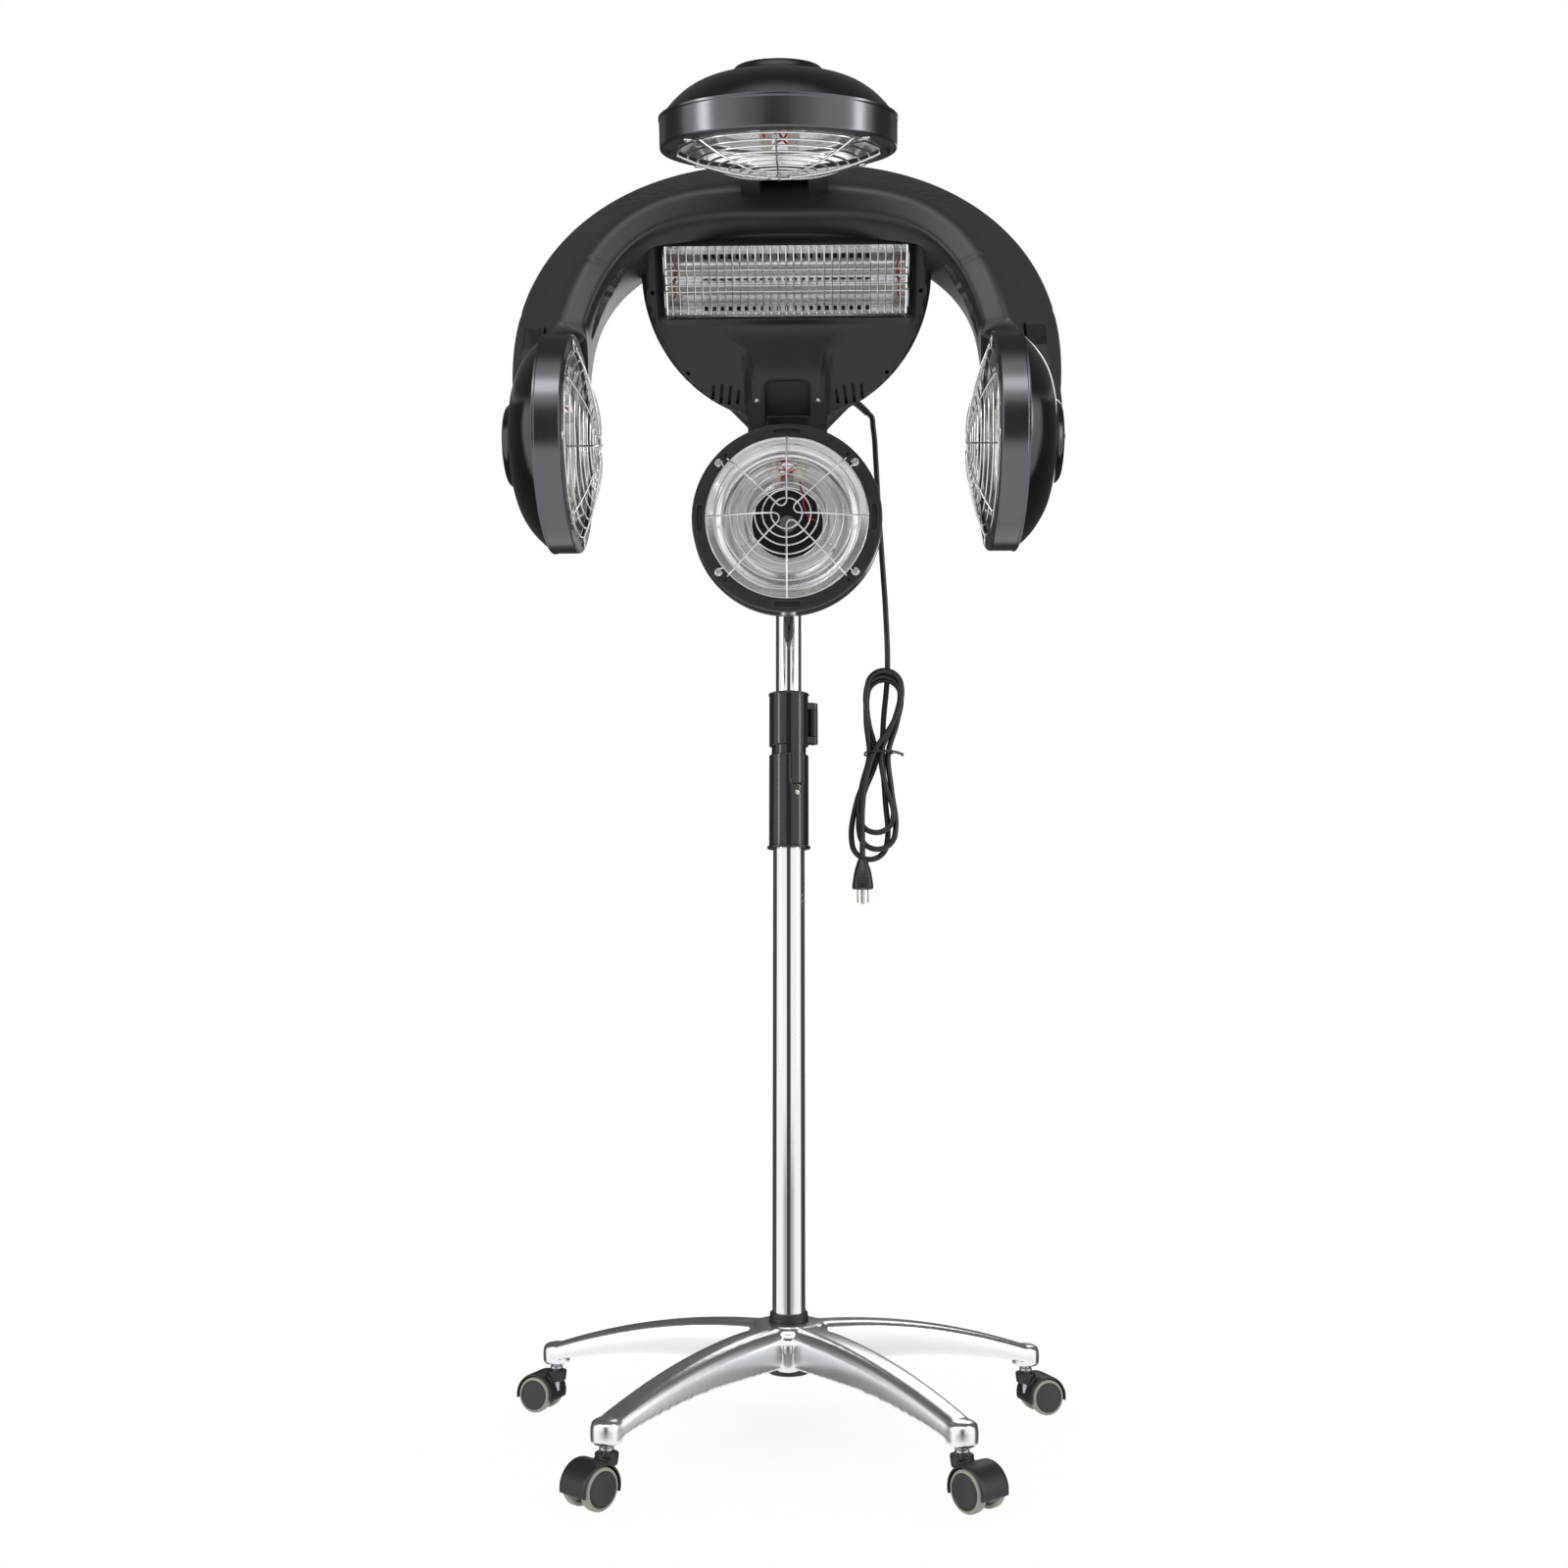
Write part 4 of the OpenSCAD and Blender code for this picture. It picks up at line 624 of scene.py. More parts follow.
low_v = np.arcsin(27 / 170)
bottom = np.linspace(-np.pi / 2 + low_v, np.arctan2(49.7, 162.6), 110)
right_side = arc_about(0, 30, 170, bottom)
top_v = np.linspace(np.arctan2(488.7, 162.6), np.pi - np.arctan2(488.7, 162.6), 110)[1:-1]
top_side = arc_about(0, -409, 515, top_v)
mouth_v = np.radians(np.linspace(90, 0, 8))
mouth_right = arc_about(16, -99, 11, mouth_v)
mouth_down = np.array([[27, s] for s in (-106.0, -114, -122, -130)])
mouth_side = np.concatenate([mouth_down[::-1] * [-1, 1], mouth_right[::-1] * [-1, 1],
                             [[x, -88.0] for x in (-10, -3, 3, 10)], mouth_right, mouth_down])
shield_line = np.concatenate([right_side, top_side, right_side[::-1] * [-1, 1], mouth_side])
louvres = [(side * (60 + 10 * i), -108 + 2 * i, 1.9, half_l, 1.8, side * (9 - i))
           for side in (-1, 1) for i, half_l in enumerate((9, 12, 12, 9))]
screw_holes = [(side * x, s) for side in (-1, 1) for x, s in ((158, 14), (120, -80))]
hole_lines = [ring_round(0, heater_up, heater_half_w, heater_half_h, 3, per_side=40), *[ring_round(*l) for l in louvres],
              *[ring_round(x, s, 2.6, 2.6, 2.6) for x, s in screw_holes]]


def within(line, x, y):
    """True inside a closed line: a ray towards +x crosses it an odd number of times."""
    (ax, ay), (bx, by) = line.T[:, None], np.roll(line, -1, axis=0).T[:, None]
    x, y = x[:, None], y[:, None]
    crossed = (ay > y) != (by > y)
    at = ax + (y - ay) * (bx - ax) / np.where(by == ay, 1, by - ay)
    return (crossed & (x < at)).sum(1) % 2 == 1


def trimmed_sheet(outline, holes, spacing, keep, height):
    """Sheet over an outline with holes cut out, as Delaunay triangles between the lines and a grid of points kept
    clear of them, each at (x, y, height(x, y)). Triangles with their middle in a hole are left out."""
    lines = [np.asarray(line) for line in (outline, *holes)]
    span = np.arange(-180, 180, spacing)
    gx, gy = (g.ravel() for g in np.meshgrid(span + spacing / 2, span + spacing / 3))
    inner = np.stack([gx, gy], 1)[keep(gx, gy)]
    starts = np.cumsum([0] + [len(line) for line in lines])
    edges = [(int(a + i), int(a + (i + 1) % (b - a))) for a, b in zip(starts, starts[1:]) for i in range(b - a)]
    made = delaunay_2d_cdt(np.concatenate([*lines, inner]).tolist(), edges, [], 2, 1e-5)
    flat = np.array([tuple(p) for p in made[0]])
    faces = np.array([list(f) for f in made[2]])
    mid = flat[faces].mean(1)
    cut = np.any([within(line, mid[:, 0], mid[:, 1]) for line in lines[1:]], 0) | ~within(lines[0], mid[:, 0], mid[:, 1])
    return np.column_stack([flat, height(flat[:, 0], flat[:, 1])]), faces[~cut].tolist()


def skirt(line, height, low):
    """Wall from a closed line on the sheet down to a level: rows at its height and at the levels given."""
    line = np.asarray(line)
    top = np.column_stack([line, height(line[:, 0], line[:, 1])])
    rows = [top] + [np.column_stack([line, np.full(len(line), z)]) for z in np.atleast_1d(low)]
    return skin(np.stack(rows))


def clear_of_lines(x, s):
    """True where a grid point is 2.5 mm inside the shield and 1.6 mm clear of each opening."""
    gaps = [shield_edge(x, s) - 2.5, past_mouth(x, s) - 2,
            past_box(x, s - heater_up, heater_half_w, heater_half_h, 3) - 2]
    for cx, cy, half_x, half_y, r, tilt in louvres:
        t = np.radians(tilt)
        gaps.append(past_box((x - cx) * np.cos(t) + (s - cy) * np.sin(t), (s - cy) * np.cos(t) - (x - cx) * np.sin(t),
                             half_x, half_y, r) - 1.6)
    gaps += [np.hypot(x - cx, s - cy) - 4.2 for cx, cy in screw_holes]
    return np.min(gaps, 0) > 0


face = trimmed_sheet(shield_line, hole_lines, 3.4, clear_of_lines, cover_height)
walls = [skirt(shield_line, cover_height, [-8, -16]), skirt(hole_lines[0], cover_height, -14),
         *[skirt(line, cover_height, -3) for line in hole_lines[1:]]]
front_shell = piece("front_shell", on_cover(joined(face, *walls)), black_abs, "hood", ["front_cover"],
                    crisp=40)
shell_wall = front_shell.modifiers.new("wall", "SOLIDIFY")
shell_wall.thickness, shell_wall.offset = 0.0022, -1

# The parts behind the shield's mouth and louvres are in shadow: a plain dark inner wall closes them off.
cavity_v = np.linspace(0, 2 * np.pi, 120, endpoint=False)


def furthest(towards):
    """Hull of the shield's back plate and the rounded back: along each direction, the point of the two that lies
    furthest, which is a corner of the plate or centre + R^2 d / |R d| on the ellipsoid."""
    d = towards / np.linalg.norm(towards, axis=-1, keepdims=True)
    plate = np.concatenate([np.column_stack([0.99 * shield_line, np.full(len(shield_line), n)]) for n in (-17.6, -15.2)])
    plate = plate @ cover_spin.T + cover_mid
    radii = np.array([100, 45, 78.0])
    ball = np.array([0, 10, 1335]) + radii**2 * d / np.linalg.norm(radii * d, axis=-1, keepdims=True)
    best = plate[(d @ plate.T).argmax(-1)]
    return np.where(((d * ball).sum(-1) > (d * best).sum(-1))[..., None], ball, best)


lat, lon = np.meshgrid(np.linspace(-np.pi / 2, np.pi / 2, 90), np.linspace(0, 2 * np.pi, 150, endpoint=False),
                       indexing="ij")
hull_points = furthest(np.stack([np.cos(lat) * np.cos(lon), np.cos(lat) * np.sin(lon), np.sin(lat)], -1))
hull = skin(hull_points)
funnel_z = np.array([1300, 1268, 1258, 1240, 1220, 1202, 1188, 1181, 1177.5, 1176.2, 1176, 1176.0])
funnel_u = np.clip((1260 - funnel_z) / 76, 0, 1)
funnel_u = funnel_u + 0.02 * np.sin(np.pi * funnel_u)
funnel_x = np.r_[98 + (22.5 - 98) * funnel_u[:-4], 22, 21.2, 19.5, 0]
funnel_y = np.r_[36 + (22.5 - 36) * funnel_u[:-4], 22, 21.2, 19.5, 0]
funnel_mid = -12 * (1 - np.minimum(funnel_u, 1))
funnel_rows = np.stack([funnel_x[:, None] * np.cos(cavity_v), funnel_mid[:, None] + funnel_y[:, None] * np.sin(cavity_v),
                        np.repeat(funnel_z[:, None], 120, 1)], -1)
funnel_rows[0] = [0, -12, 1300]
funnel = skin(funnel_rows)
rear_shell = fused("rear_shell", joined(hull, funnel), 2.2, 5, black_abs, "hood", ["rear_cover"])
rear_points = numbers_of(rear_shell.data.vertices, "co")
rear_points[:, 1] = np.minimum(rear_points[:, 1], 0.047)
rear_shell.data.vertices.foreach_set("co", rear_points.ravel())
rear_mid = (numbers_of(rear_shell.data.polygons, "center") * 1000 - on_casters - cover_mid) @ cover_spin
before_heater = past_box(rear_mid[:, 0], rear_mid[:, 1] - heater_up, heater_half_w, heater_half_h) < 0
before_heater &= rear_mid[:, 2] > -20
opened = bmesh.new()
opened.from_mesh(rear_shell.data)
opened.faces.ensure_lookup_table()
bmesh.ops.delete(opened, geom=[opened.faces[i] for i in np.flatnonzero(before_heater)], context="FACES")
opened.to_mesh(rear_shell.data)
opened.free()
rear_shell.data.set_sharp_from_angle(angle=np.radians(50))


# ---- Arms ----
# The arch that carries the side heads: two hollow ABS mouldings, left and right, that meet over the middle. Their
# front edge is thin and their back deep, and each ends in a separate shell and a steel-pinned yoke.
def arm_mid(a):
    """Line of the arm's inner face at angle a: (218 sin^p a, y, 1379 - drop), with drop = 232 (1 - cos^p a) and
    p = 2/2.9, and y = -171 - 0.28 drop."""
    fall = 232 * (1 - np.cos(a) ** (2 / 2.9))
    return np.stack([218 * np.sin(a) ** (2 / 2.9), -171 - 0.28 * fall, 1379 - fall], -1)


def unit(v):
    """Vectors over their own lengths."""
    return v / np.linalg.norm(v, axis=-1, keepdims=True)


arm_a = np.radians(84 * np.linspace(0, 1, 150) ** 1.35)
centre = arm_mid(arm_a)
ahead = unit(arm_mid(arm_a + 0.0087) - arm_mid(np.maximum(arm_a - 0.0087, 0)))
ahead[arm_a < 0.0175] = [1, 0, 0]
outer_way = np.stack([centre[:, 0], 0 * centre[:, 0], centre[:, 2] - 1150], -1)
outer_way = unit(outer_way - (outer_way * ahead).sum(-1, keepdims=True) * ahead)
back_way = np.cross(outer_way, ahead)
k = arm_a / (np.pi / 2)
roll = np.radians(12 - 10 * k + 20 * k * (1 - k))[:, None]
outer_way, back_way = (outer_way * np.cos(roll) - back_way * np.sin(roll),
                       back_way * np.cos(roll) + outer_way * np.sin(roll))
half_depth = (130 + 10 * k) / 2 + 60 * k * (1 - k)
front_t, back_t = 42 - 8 * k, 112 - 16 * k + 24 * k * (1 - k)
side = np.linspace(-1, 1, 44, endpoint=False)
one = np.ones_like(side)
ring_q = np.concatenate([np.stack(c, 1) for c in ((one, side), (-side, one), (-one, -side), (side, -one))])
ring_c, ring_s = (ring_q / (ring_q**6).sum(1, keepdims=True) ** (1 / 6)).T
thick = front_t[:, None] + (back_t - front_t)[:, None] * (ring_s + 1) / 2


def arm_point(out):
    """Points of the arm's rings at distances out from its inner face: centre + out outer_way + half s back_way."""
    return (centre[:, None] + out[..., None] * outer_way[:, None]
            + (half_depth[:, None] * ring_s)[..., None] * back_way[:, None])


def in_scoop(points):
    """True in the space that the arms leave in front of the heater: 161 either side, 72 up, corners of 16."""
    q = (points - cover_mid) @ cover_spin
    return (past_box(q[..., 0], q[..., 1] + 14, 161, 86, 16) < 0) & (q[..., 2] > -90)


low_edge, high_edge = np.zeros_like(thick), thick.copy()
for _ in range(14):
    between = (low_edge + high_edge) / 2
    scooped = in_scoop(arm_point(between))
    low_edge, high_edge = np.where(scooped, between, low_edge), np.where(scooped, high_edge, between)
scooped_to = np.where(in_scoop(arm_point(np.zeros_like(thick))), low_edge, 0)
arm_deg = np.degrees(arm_a)[:, None]
outside = thick * (1 + ring_c) / 2
seam = 0.9 * np.exp(-((arm_deg - 66.5) / 0.5) ** 2)
rib_x = centre[:, :1]
ribs = 1.6 * step(np.sin(rib_x * 2 * np.pi / 9.5) * 2 - 0.2) * step((rib_x - 104) / 4) * step((164 - rib_x) / 4)
recess = 7 * step(4 * (1 - ((arm_deg - 69.5) / 13) ** 2 - ((ring_s + 0.52) / 0.24) ** 2)) * (ring_c < -0.97)
reach_out = (np.maximum(outside, scooped_to) - seam * (ring_c > 0) + recess
             + ribs * (ring_c > 0.9) * step((ring_s + 0.75) / 0.1) * step((0.35 - ring_s) / 0.1))
arm_rings = arm_point(reach_out) - (seam * np.sign(ring_s) * (np.abs(ring_s) > 0.85))[..., None] * back_way[:, None]

# Each arm ends in a saddle, 122 mm round the head's axis, and thins towards its front edge on the way there.
side_spin, side_mid = spin(("X", 67), ("Y", -90)), np.array([215, -304, 1073.0])


def arm_end(along, inward):
    """Points past the arm's last ring, drawn in to inward times the ring: they slide along the arm's way until the
    distance to the head's axis is 122 mm, and stop at the share along of that."""
    front = front_t[-1] * (1 - step(along)) + 2 * step(along)
    full = front + (back_t[-1] - front) * (inward * ring_s + 1) / 2
    start = (centre[-1] + (full * (1 + inward * ring_c) / 2)[:, None] * outer_way[-1]
             + (half_depth[-1] * inward * ring_s)[:, None] * back_way[-1])
    near, slide = (start - side_mid) @ side_spin[:, :2], ahead[-1] @ side_spin[:, :2]
    b, c = near @ slide / (slide @ slide), ((near**2).sum(1) - 122**2) / (slide @ slide)
    reach = np.where(b**2 > c, -b - np.sqrt(np.maximum(b**2 - c, 0)), -b)
    return start + (along * np.clip(reach, 0, 62))[:, None] * ahead[-1]


end_rings = [arm_end(e, 1.0) for e in np.linspace(0.03, 1, 22)]
end_rings += [arm_end(1.0, f) for f in (0.985, 0.95, 0.85, 0.65, 0.35, 0)]
arm_skin = skin(np.concatenate([arm_rings, end_rings]), caps=1)


def mirrored(shape):
    """The same shape on the other side: (-x, y, z)."""
    return np.asarray(shape[0]) * [-1, 1, 1], shape[1]


cheek_v = np.radians(np.linspace(180, 360, 24))
cheek_line = arc_about(-100, -58, 11, cheek_v + np.pi / 2) * [-1, 1]
cheek_line = np.concatenate([cheek_line, [[158, -47.0], [158, -69.0]]])
yoke = joined(slab(cheek_line, 12.6, 20.5, 0), slab(cheek_line, -20.5, -12.6, 0),
              block([-20.5, 123, -69], [20.5, 160, -47]))
yoke = placed(yoke, side_spin, side_mid)
for name, flip in (("right", lambda shape: shape), ("left", mirrored)):
    piece(f"{name}_arm_shell", flip(arm_skin), black_abs, "hood", [f"{name}_arm"], crisp=32)
    piece(f"{name}_arm_yoke", flip(yoke), black_nylon, "hood", edge=1.2)


# ---- Brackets of the top and nape heads ----
# Ribbed nylon brackets, each a pair of struts with a bore for the head's hinge pin at the end. The top one grows
# out of the arch and the nape one is screwed up to the front cover.
def copied(name, node, material, body, edge, crisp=30):
    """A finished piece from a CAD solid: its loose triangles merged where they meet, flat sides made whole, and
    edges sharper than `crisp` degrees rounded by `edge` mm."""
    work = bmesh.new()
    work.from_mesh(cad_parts[node].data)
    bmesh.ops.remove_doubles(work, verts=work.verts, dist=1e-5)
    bmesh.ops.dissolve_limit(work, angle_limit=np.radians(0.6), verts=work.verts, edges=work.edges)
    work.verts.ensure_lookup_table()
    shape = (np.array([v.co for v in work.verts]) * 1000 - on_casters, [[v.index for v in f.verts] for f in work.faces])
    work.free()
    return piece(name, shape, material, body, [node], crisp, edge)


copied("top_bracket", "top_arm", black_nylon, "hood", 1.6)
copied("nape_bracket", "nape_arm", black_nylon, "hood", 1.4)
screws = [screw_head(np.array([x, s, cover_height(np.array(x), np.array(s)) - 0.4]) @ cover_spin.T + cover_mid,
                     cover_spin[:, 2], 2.9, 1.3) for x, s in ((-37, -110), (37, -110))]
piece("bracket_screws", joined(*screws), nickel, "hood")


# ---- Flat heater ----
# Two clear quartz tubes with a coiled filament lie in a bent trough of polished aluminium sheet, pierced with
# rows of cooling slots, behind a welded and chromed wire guard.
mirror_sheet = finish_of("polished_aluminium_sheet", "#f4f5f6", 0.17, 1.0, grain=7, relief=0.06, patches=0.05)
guard_chrome = finish_of("chromed_guard_wire", "#dfe1e3", 0.12, 1.0, grain=2.0, relief=0.004, patches=0.03)
ceramic = finish_of("steatite_ceramic", "#dcd8cc", 0.5, grain=0.5, relief=0.02)
filament_wire = finish_of("resistance_wire", "#6d6a66", 0.4, 0.8, grain=0.4, relief=0.01)
red_silicone = finish_of("red_silicone_lead", "#b3201c", 0.4, grain=0.6, relief=0.01)
# Near-black painted shade: it fills the heater's slots and each lamp head's back pan, standing for the shadow behind
# the sheet and behind the reflector's middle.
painted_shade_fill = finish_of("painted_shade_dark_steel", "#0c0c0d", 0.6, 0.3, grain=0.8, relief=0.02)

# Quartz glass: clear, hard, polished by the flame, so only its reflections and a faint grey show.
quartz, quartz_tree, quartz_place = blank_material("clear_quartz_glass")
quartz_ripple = add_node(quartz_tree, "TexNoise", {"Scale": 180.0, "Detail": 1.0}, {"Vector": quartz_place})
quartz_bump = add_node(quartz_tree, "Bump", {"Strength": 0.3, "Distance": 0.0001},
                       {"Height": quartz_ripple.outputs["Fac"]})
quartz_shader = add_node(quartz_tree, "BsdfPrincipled", {"Base Color": linear("#f3f3f0"), "Roughness": 0.05, "IOR": 1.46,
                         "Alpha": 0.42, "Specular IOR Level": 0.9}, {"Normal": quartz_bump.outputs["Normal"]})
add_node(quartz_tree, "OutputMaterial", {}, {"Surface": quartz_shader.outputs["BSDF"]})

trough = eased([[40, 0], [30, -22], [17, -34], [6, -34], [0, -20], [-6, -34], [-17, -34], [-30, -22], [-40, 0]], 4.5,
               steps=6)
trough = np.concatenate([trough, trough[::-1] - [0, 1.2]])
trough_x = np.linspace(-141, 141, 60)
trough_rings = np.stack([np.tile(trough_x[:, None], (1, len(trough))), heater_up + np.tile(trough[:, 0], (60, 1)),
                         np.tile(trough[:, 1], (60, 1))], -1)
trough_skin = skin(trough_rings, caps=2)
side_line = [[66.5, 1], [66.5, -1], [60.5, -37], [-9.5, -37], [-15.5, -1], [-15.5, 1]]
sides = [slab(side_line, x - 1, x + 1, 0) for x in (-141, 141)]
piece("heater_trough", on_cover(joined(trough_skin, *sides)), mirror_sheet, "hood",
      ["heater_reflector"], crisp=50)

# The cooling slots are not cut through the sheet: near-black blocks of painted shade stand in them, for the shadow
# behind.
slot_x = np.arange(-96, 100, 9.6)
slots = []
for up, deep, lean in ((25.2, -26.6, 43), (-32.5, -16.2, -65.6)):
    row = joined(*[block([x - 2.2, -3.4, -0.7], [x + 2.2, 3.4, 0.7]) for x in slot_x])
    slots.append(placed(row, spin(("X", lean)), [0, heater_up + up, deep]))
middle_slots = [block([x - 3.0, heater_up - 1.1, -20.6], [x + 3.0, heater_up + 1.1, -19.2]) for x in slot_x]
piece("heater_slots", on_cover(joined(*slots, *middle_slots)), painted_shade_fill, "hood")


def coil(line, radius, pitch, wire, sides=5):
    """Coiled wire on a line: line + radius (a cos v + b sin v), with one turn of v for each pitch along it."""
    line = np.asarray(line, float)
    run = np.r_[0, np.cumsum(np.linalg.norm(np.diff(line, axis=0), axis=1))]
    s = np.linspace(0, run[-1], int(run[-1] / pitch * 9))
    p = np.stack([np.interp(s, run, line[:, i]) for i in range(3)], 1)
    way = unit(np.gradient(p, axis=0))
    a = unit(np.cross(way, np.eye(3)[np.abs(way).max(0).argmin()]))
    v = (2 * np.pi * s / pitch)[:, None]
    return tube(p + radius * (a * np.cos(v) + np.cross(way, a) * np.sin(v)), wire, sides)


tube_up = heater_up - 11, heater_up + 11
tube_lines = [np.column_stack([np.linspace(-129, 129, 30), np.full(30, up), np.full(30, -17)]) for up in tube_up]
end_caps = [tube([[x0, up, -17], [x1, up, -17]], 6.6, 28) for up in tube_up for x0, x1 in ((-140, -127), (127, 140))]
piece("heater_quartz", on_cover(joined(*[tube(line, 5.5, 28) for line in tube_lines])), quartz, "hood",
      ["heater_tubes"], crisp=60)
piece("heater_filaments", on_cover(joined(*[coil(line, 3.0, 3.4, 0.45) for line in tube_lines])), filament_wire, "hood")
piece("heater_tube_ends", on_cover(joined(*end_caps)), ceramic, "hood", crisp=50)
lead_ways = ([[136, 11, -12], [134, 16, -6], [131, 4, -5], [135, -3, -8], [131, -14, -6], [136, -22, -14]],
             [[137, -11, -12], [133, -4, -4], [129, 14, -6], [133, 24, -10], [136, 30, -16]])
leads = [curve_through(np.array(way) * [end, 1, 1] + [0, heater_up, 0], 2) for way in lead_ways for end in (-1, 1)]
piece("heater_leads", on_cover(joined(*[tube(line, 0.9, 8) for line in leads])), red_silicone, "hood")

upright_x = -143.1 + np.arange(33) * 286.2 / 32
upright_line = ((-12.5, -1), (-12.8, 2.6), (-9, 3.8), (25.5, 4.8), (62, 4.4), (67.4, 3.4), (68, 0))
uprights = [tube(curve_through([[x, y, z] for y, z in upright_line], 3), 0.9, 8) for x in upright_x]
crossbars = [tube([[-145, c, 2.6], [0, c, 3.0], [145, c, 2.6]], 1.05, 8) for c in (-12.6, 15.3, 22, 32.3, 39.5, 67.8)]
piece("heater_wire_guard", on_cover(joined(*uprights, *crossbars)), guard_chrome, "hood", ["heater_guard"])


# ---- Lamp heads ----
# Four alike: a deep-drawn and gloss-painted steel dome, a grey metallic band, a black front ring, a spun
# aluminium reflector with a ring-shaped quartz lamp, and a domed guard of chromed wire held by four screws.
gloss_black = finish_of("gloss_black_paint_on_steel", "#0b0b0c", 0.12, grain=2.2, relief=0.006, patches=0.04, coat=0.5)
band_grey = finish_of("grey_metallic_paint", "#5c5d60", 0.22, 0.95, grain=0.35, relief=0.01, patches=0.04,
                      tint="#646568")
ring_black = finish_of("moulded_black_face_ring", "#17181a", 0.46, grain=0.6, relief=0.03, tint="#1d1e1f")
dull_steel = finish_of("grey_zamak_boss", "#6f7173", 0.45, 0.6, grain=0.8, relief=0.02)

dome_r = np.r_[np.linspace(0, 36, 8), np.linspace(38, 48, 12), np.linspace(52, 100, 20), np.linspace(103, 110, 8)]
dome_z = -28 - 37 * (1 - (dome_r / 110) ** 4) - 8 * step((48 - dome_r) / 9) - 0.0012 * np.maximum(36 - dome_r, 0) ** 2
inside_r = np.linspace(107, 0, 24)
inside_z = -28 - 34 * (1 - (inside_r / 107.5) ** 4)
dome = lathe(np.concatenate([np.stack([dome_r, dome_z], 1), [[109, -27.4]], np.stack([inside_r, inside_z], 1)]), 144)

ring_rr = np.r_[95.6, 96, 96.6, np.linspace(97.5, 108.5, 23), 109.6, 110.4, 110.7]
ring_a = np.linspace(0, 2 * np.pi, 720, endpoint=False)
fall_in = np.array([2.6, 0.8, 0.15] + [0.0] * 23 + [0.1, 0.5, 1.2])
around = (ring_a + np.pi / 4) % (np.pi / 2) - np.pi / 4
slot_gap = past_box(103 * around[None, :], ring_rr[:, None] - 103, 15, 2.2, 2)
slot_rim = 0.5 * np.exp(-((slot_gap - 1.2) / 0.8) ** 2)
hole_gap = np.min([np.hypot(103.5 * (ring_a[None, :] - h), ring_rr[:, None] - 103.5)
                   for h in np.radians([46, 134, 226, 314])], 0) - 1.7
ring_z = -fall_in[:, None] - 3.2 * step(0.5 - slot_gap / 0.7) - 2.6 * step(0.5 - hole_gap / 0.7) + slot_rim
face_back = polar(np.array([[110.7], [95.6]]), ring_a, -5.0)
face_ring = skin(np.concatenate([polar(ring_rr[:, None], ring_a, ring_z), face_back]), True)
band_line = eased([[110.8, -0.6], [111.4, -0.6], [112, -1.8], [112, -25.4], [112.7, -26.2], [112.7, -28.4],
                   [109.4, -28.4], [109.4, -5]], 0.5, True)
band = lathe(band_line, 180, True)
bowl_line = eased([[104, -3.4], [95.2, -3.4], [93.6, -5], [84.5, -13.2], [77, -14.6], [71.5, -23.5], [62, -28.6],
                   [48, -30.6], [45.6, -28.2], [42.6, -28.2], [41.6, -30], [41.6, -34], [40.8, -34], [40.8, -27.6],
                   [46.3, -27.4]], 2.2, steps=6)
bowl_line = bowl_line[:-int(len(bowl_line) * 0.18)]
bowl = lathe(bowl_line, 144)
pan = lathe([[0, -36], [9, -36], [12, -37], [20, -38], [30, -38], [41, -37], [44, -36]], 96)
vents = joined(*[moved(block([22, -1.4, -38.6], [36, 1.4, -35.4]), turn=v) for v in np.radians(np.arange(0, 360, 15))])
boss = lathe(eased([[0, -30], [8.5, -30], [10.5, -32], [10.5, -36.5], [0, -36.5]], 1.0), 40)

lamp_r, lamp_v = 56, np.radians(np.linspace(104, 436, 120))
lamp_line = polar(lamp_r, lamp_v, -16.0)
ring_lamp = tube(lamp_line, 5.5, 20)
lamp_coil = coil(lamp_line[3:-3], 1.7, 2.2, 0.25)
lamp_end = lathe(eased([[0, -35], [6, -35], [6, -12.5], [4.4, -10], [0, -10]], 1.4), 32)
lamp_ends = joined(*[moved(lamp_end, polar(lamp_r, v, 0)) for v in np.radians([76, 104])])
clips = []
for v in np.radians([210, 330]):
    way = polar(1, v, 0)
    saddle = np.radians(np.linspace(-30, 210, 16))
    over = np.cos(saddle)[:, None] * way + np.sin(saddle)[:, None] * [0, 0, 1]
    clips.append(tube(lamp_r * way + [0, 0, -16] + 6.3 * over, 0.8, 8))
    clips.append(tube([lamp_r * way + [0, 0, -32], lamp_r * way + [0, 0, -22]], 2.4, 16))
clips = joined(*clips)
lamp_leads = joined(*[tube(curve_through(line, 1.5), 1.15, 8) for line in (
    [[13, 56, -13], [9, 60, -15], [3, 58, -19], [-4, 55, -22], [-9, 52, -30]],
    [[-13, 56, -13], [-8, 61, -17], [-2, 62, -24], [3, 58, -32]],
    [[15, 50, -22], [20, 22, -33], [26, 8, -35], [34, 4, -36]])])

rings_r = np.array([18, 28, 37, 47, 57, 66, 76, 85.5, 95])
guard_ball = (95**2 + 20**2) / 40


def guard_z(r):
    """Height of the guard's wires at radius r: a ball of radius (95^2 + 20^2) / 40 that rises 20 over the face."""
    return 20 - guard_ball + np.sqrt(guard_ball**2 - np.square(r)) + 1.1


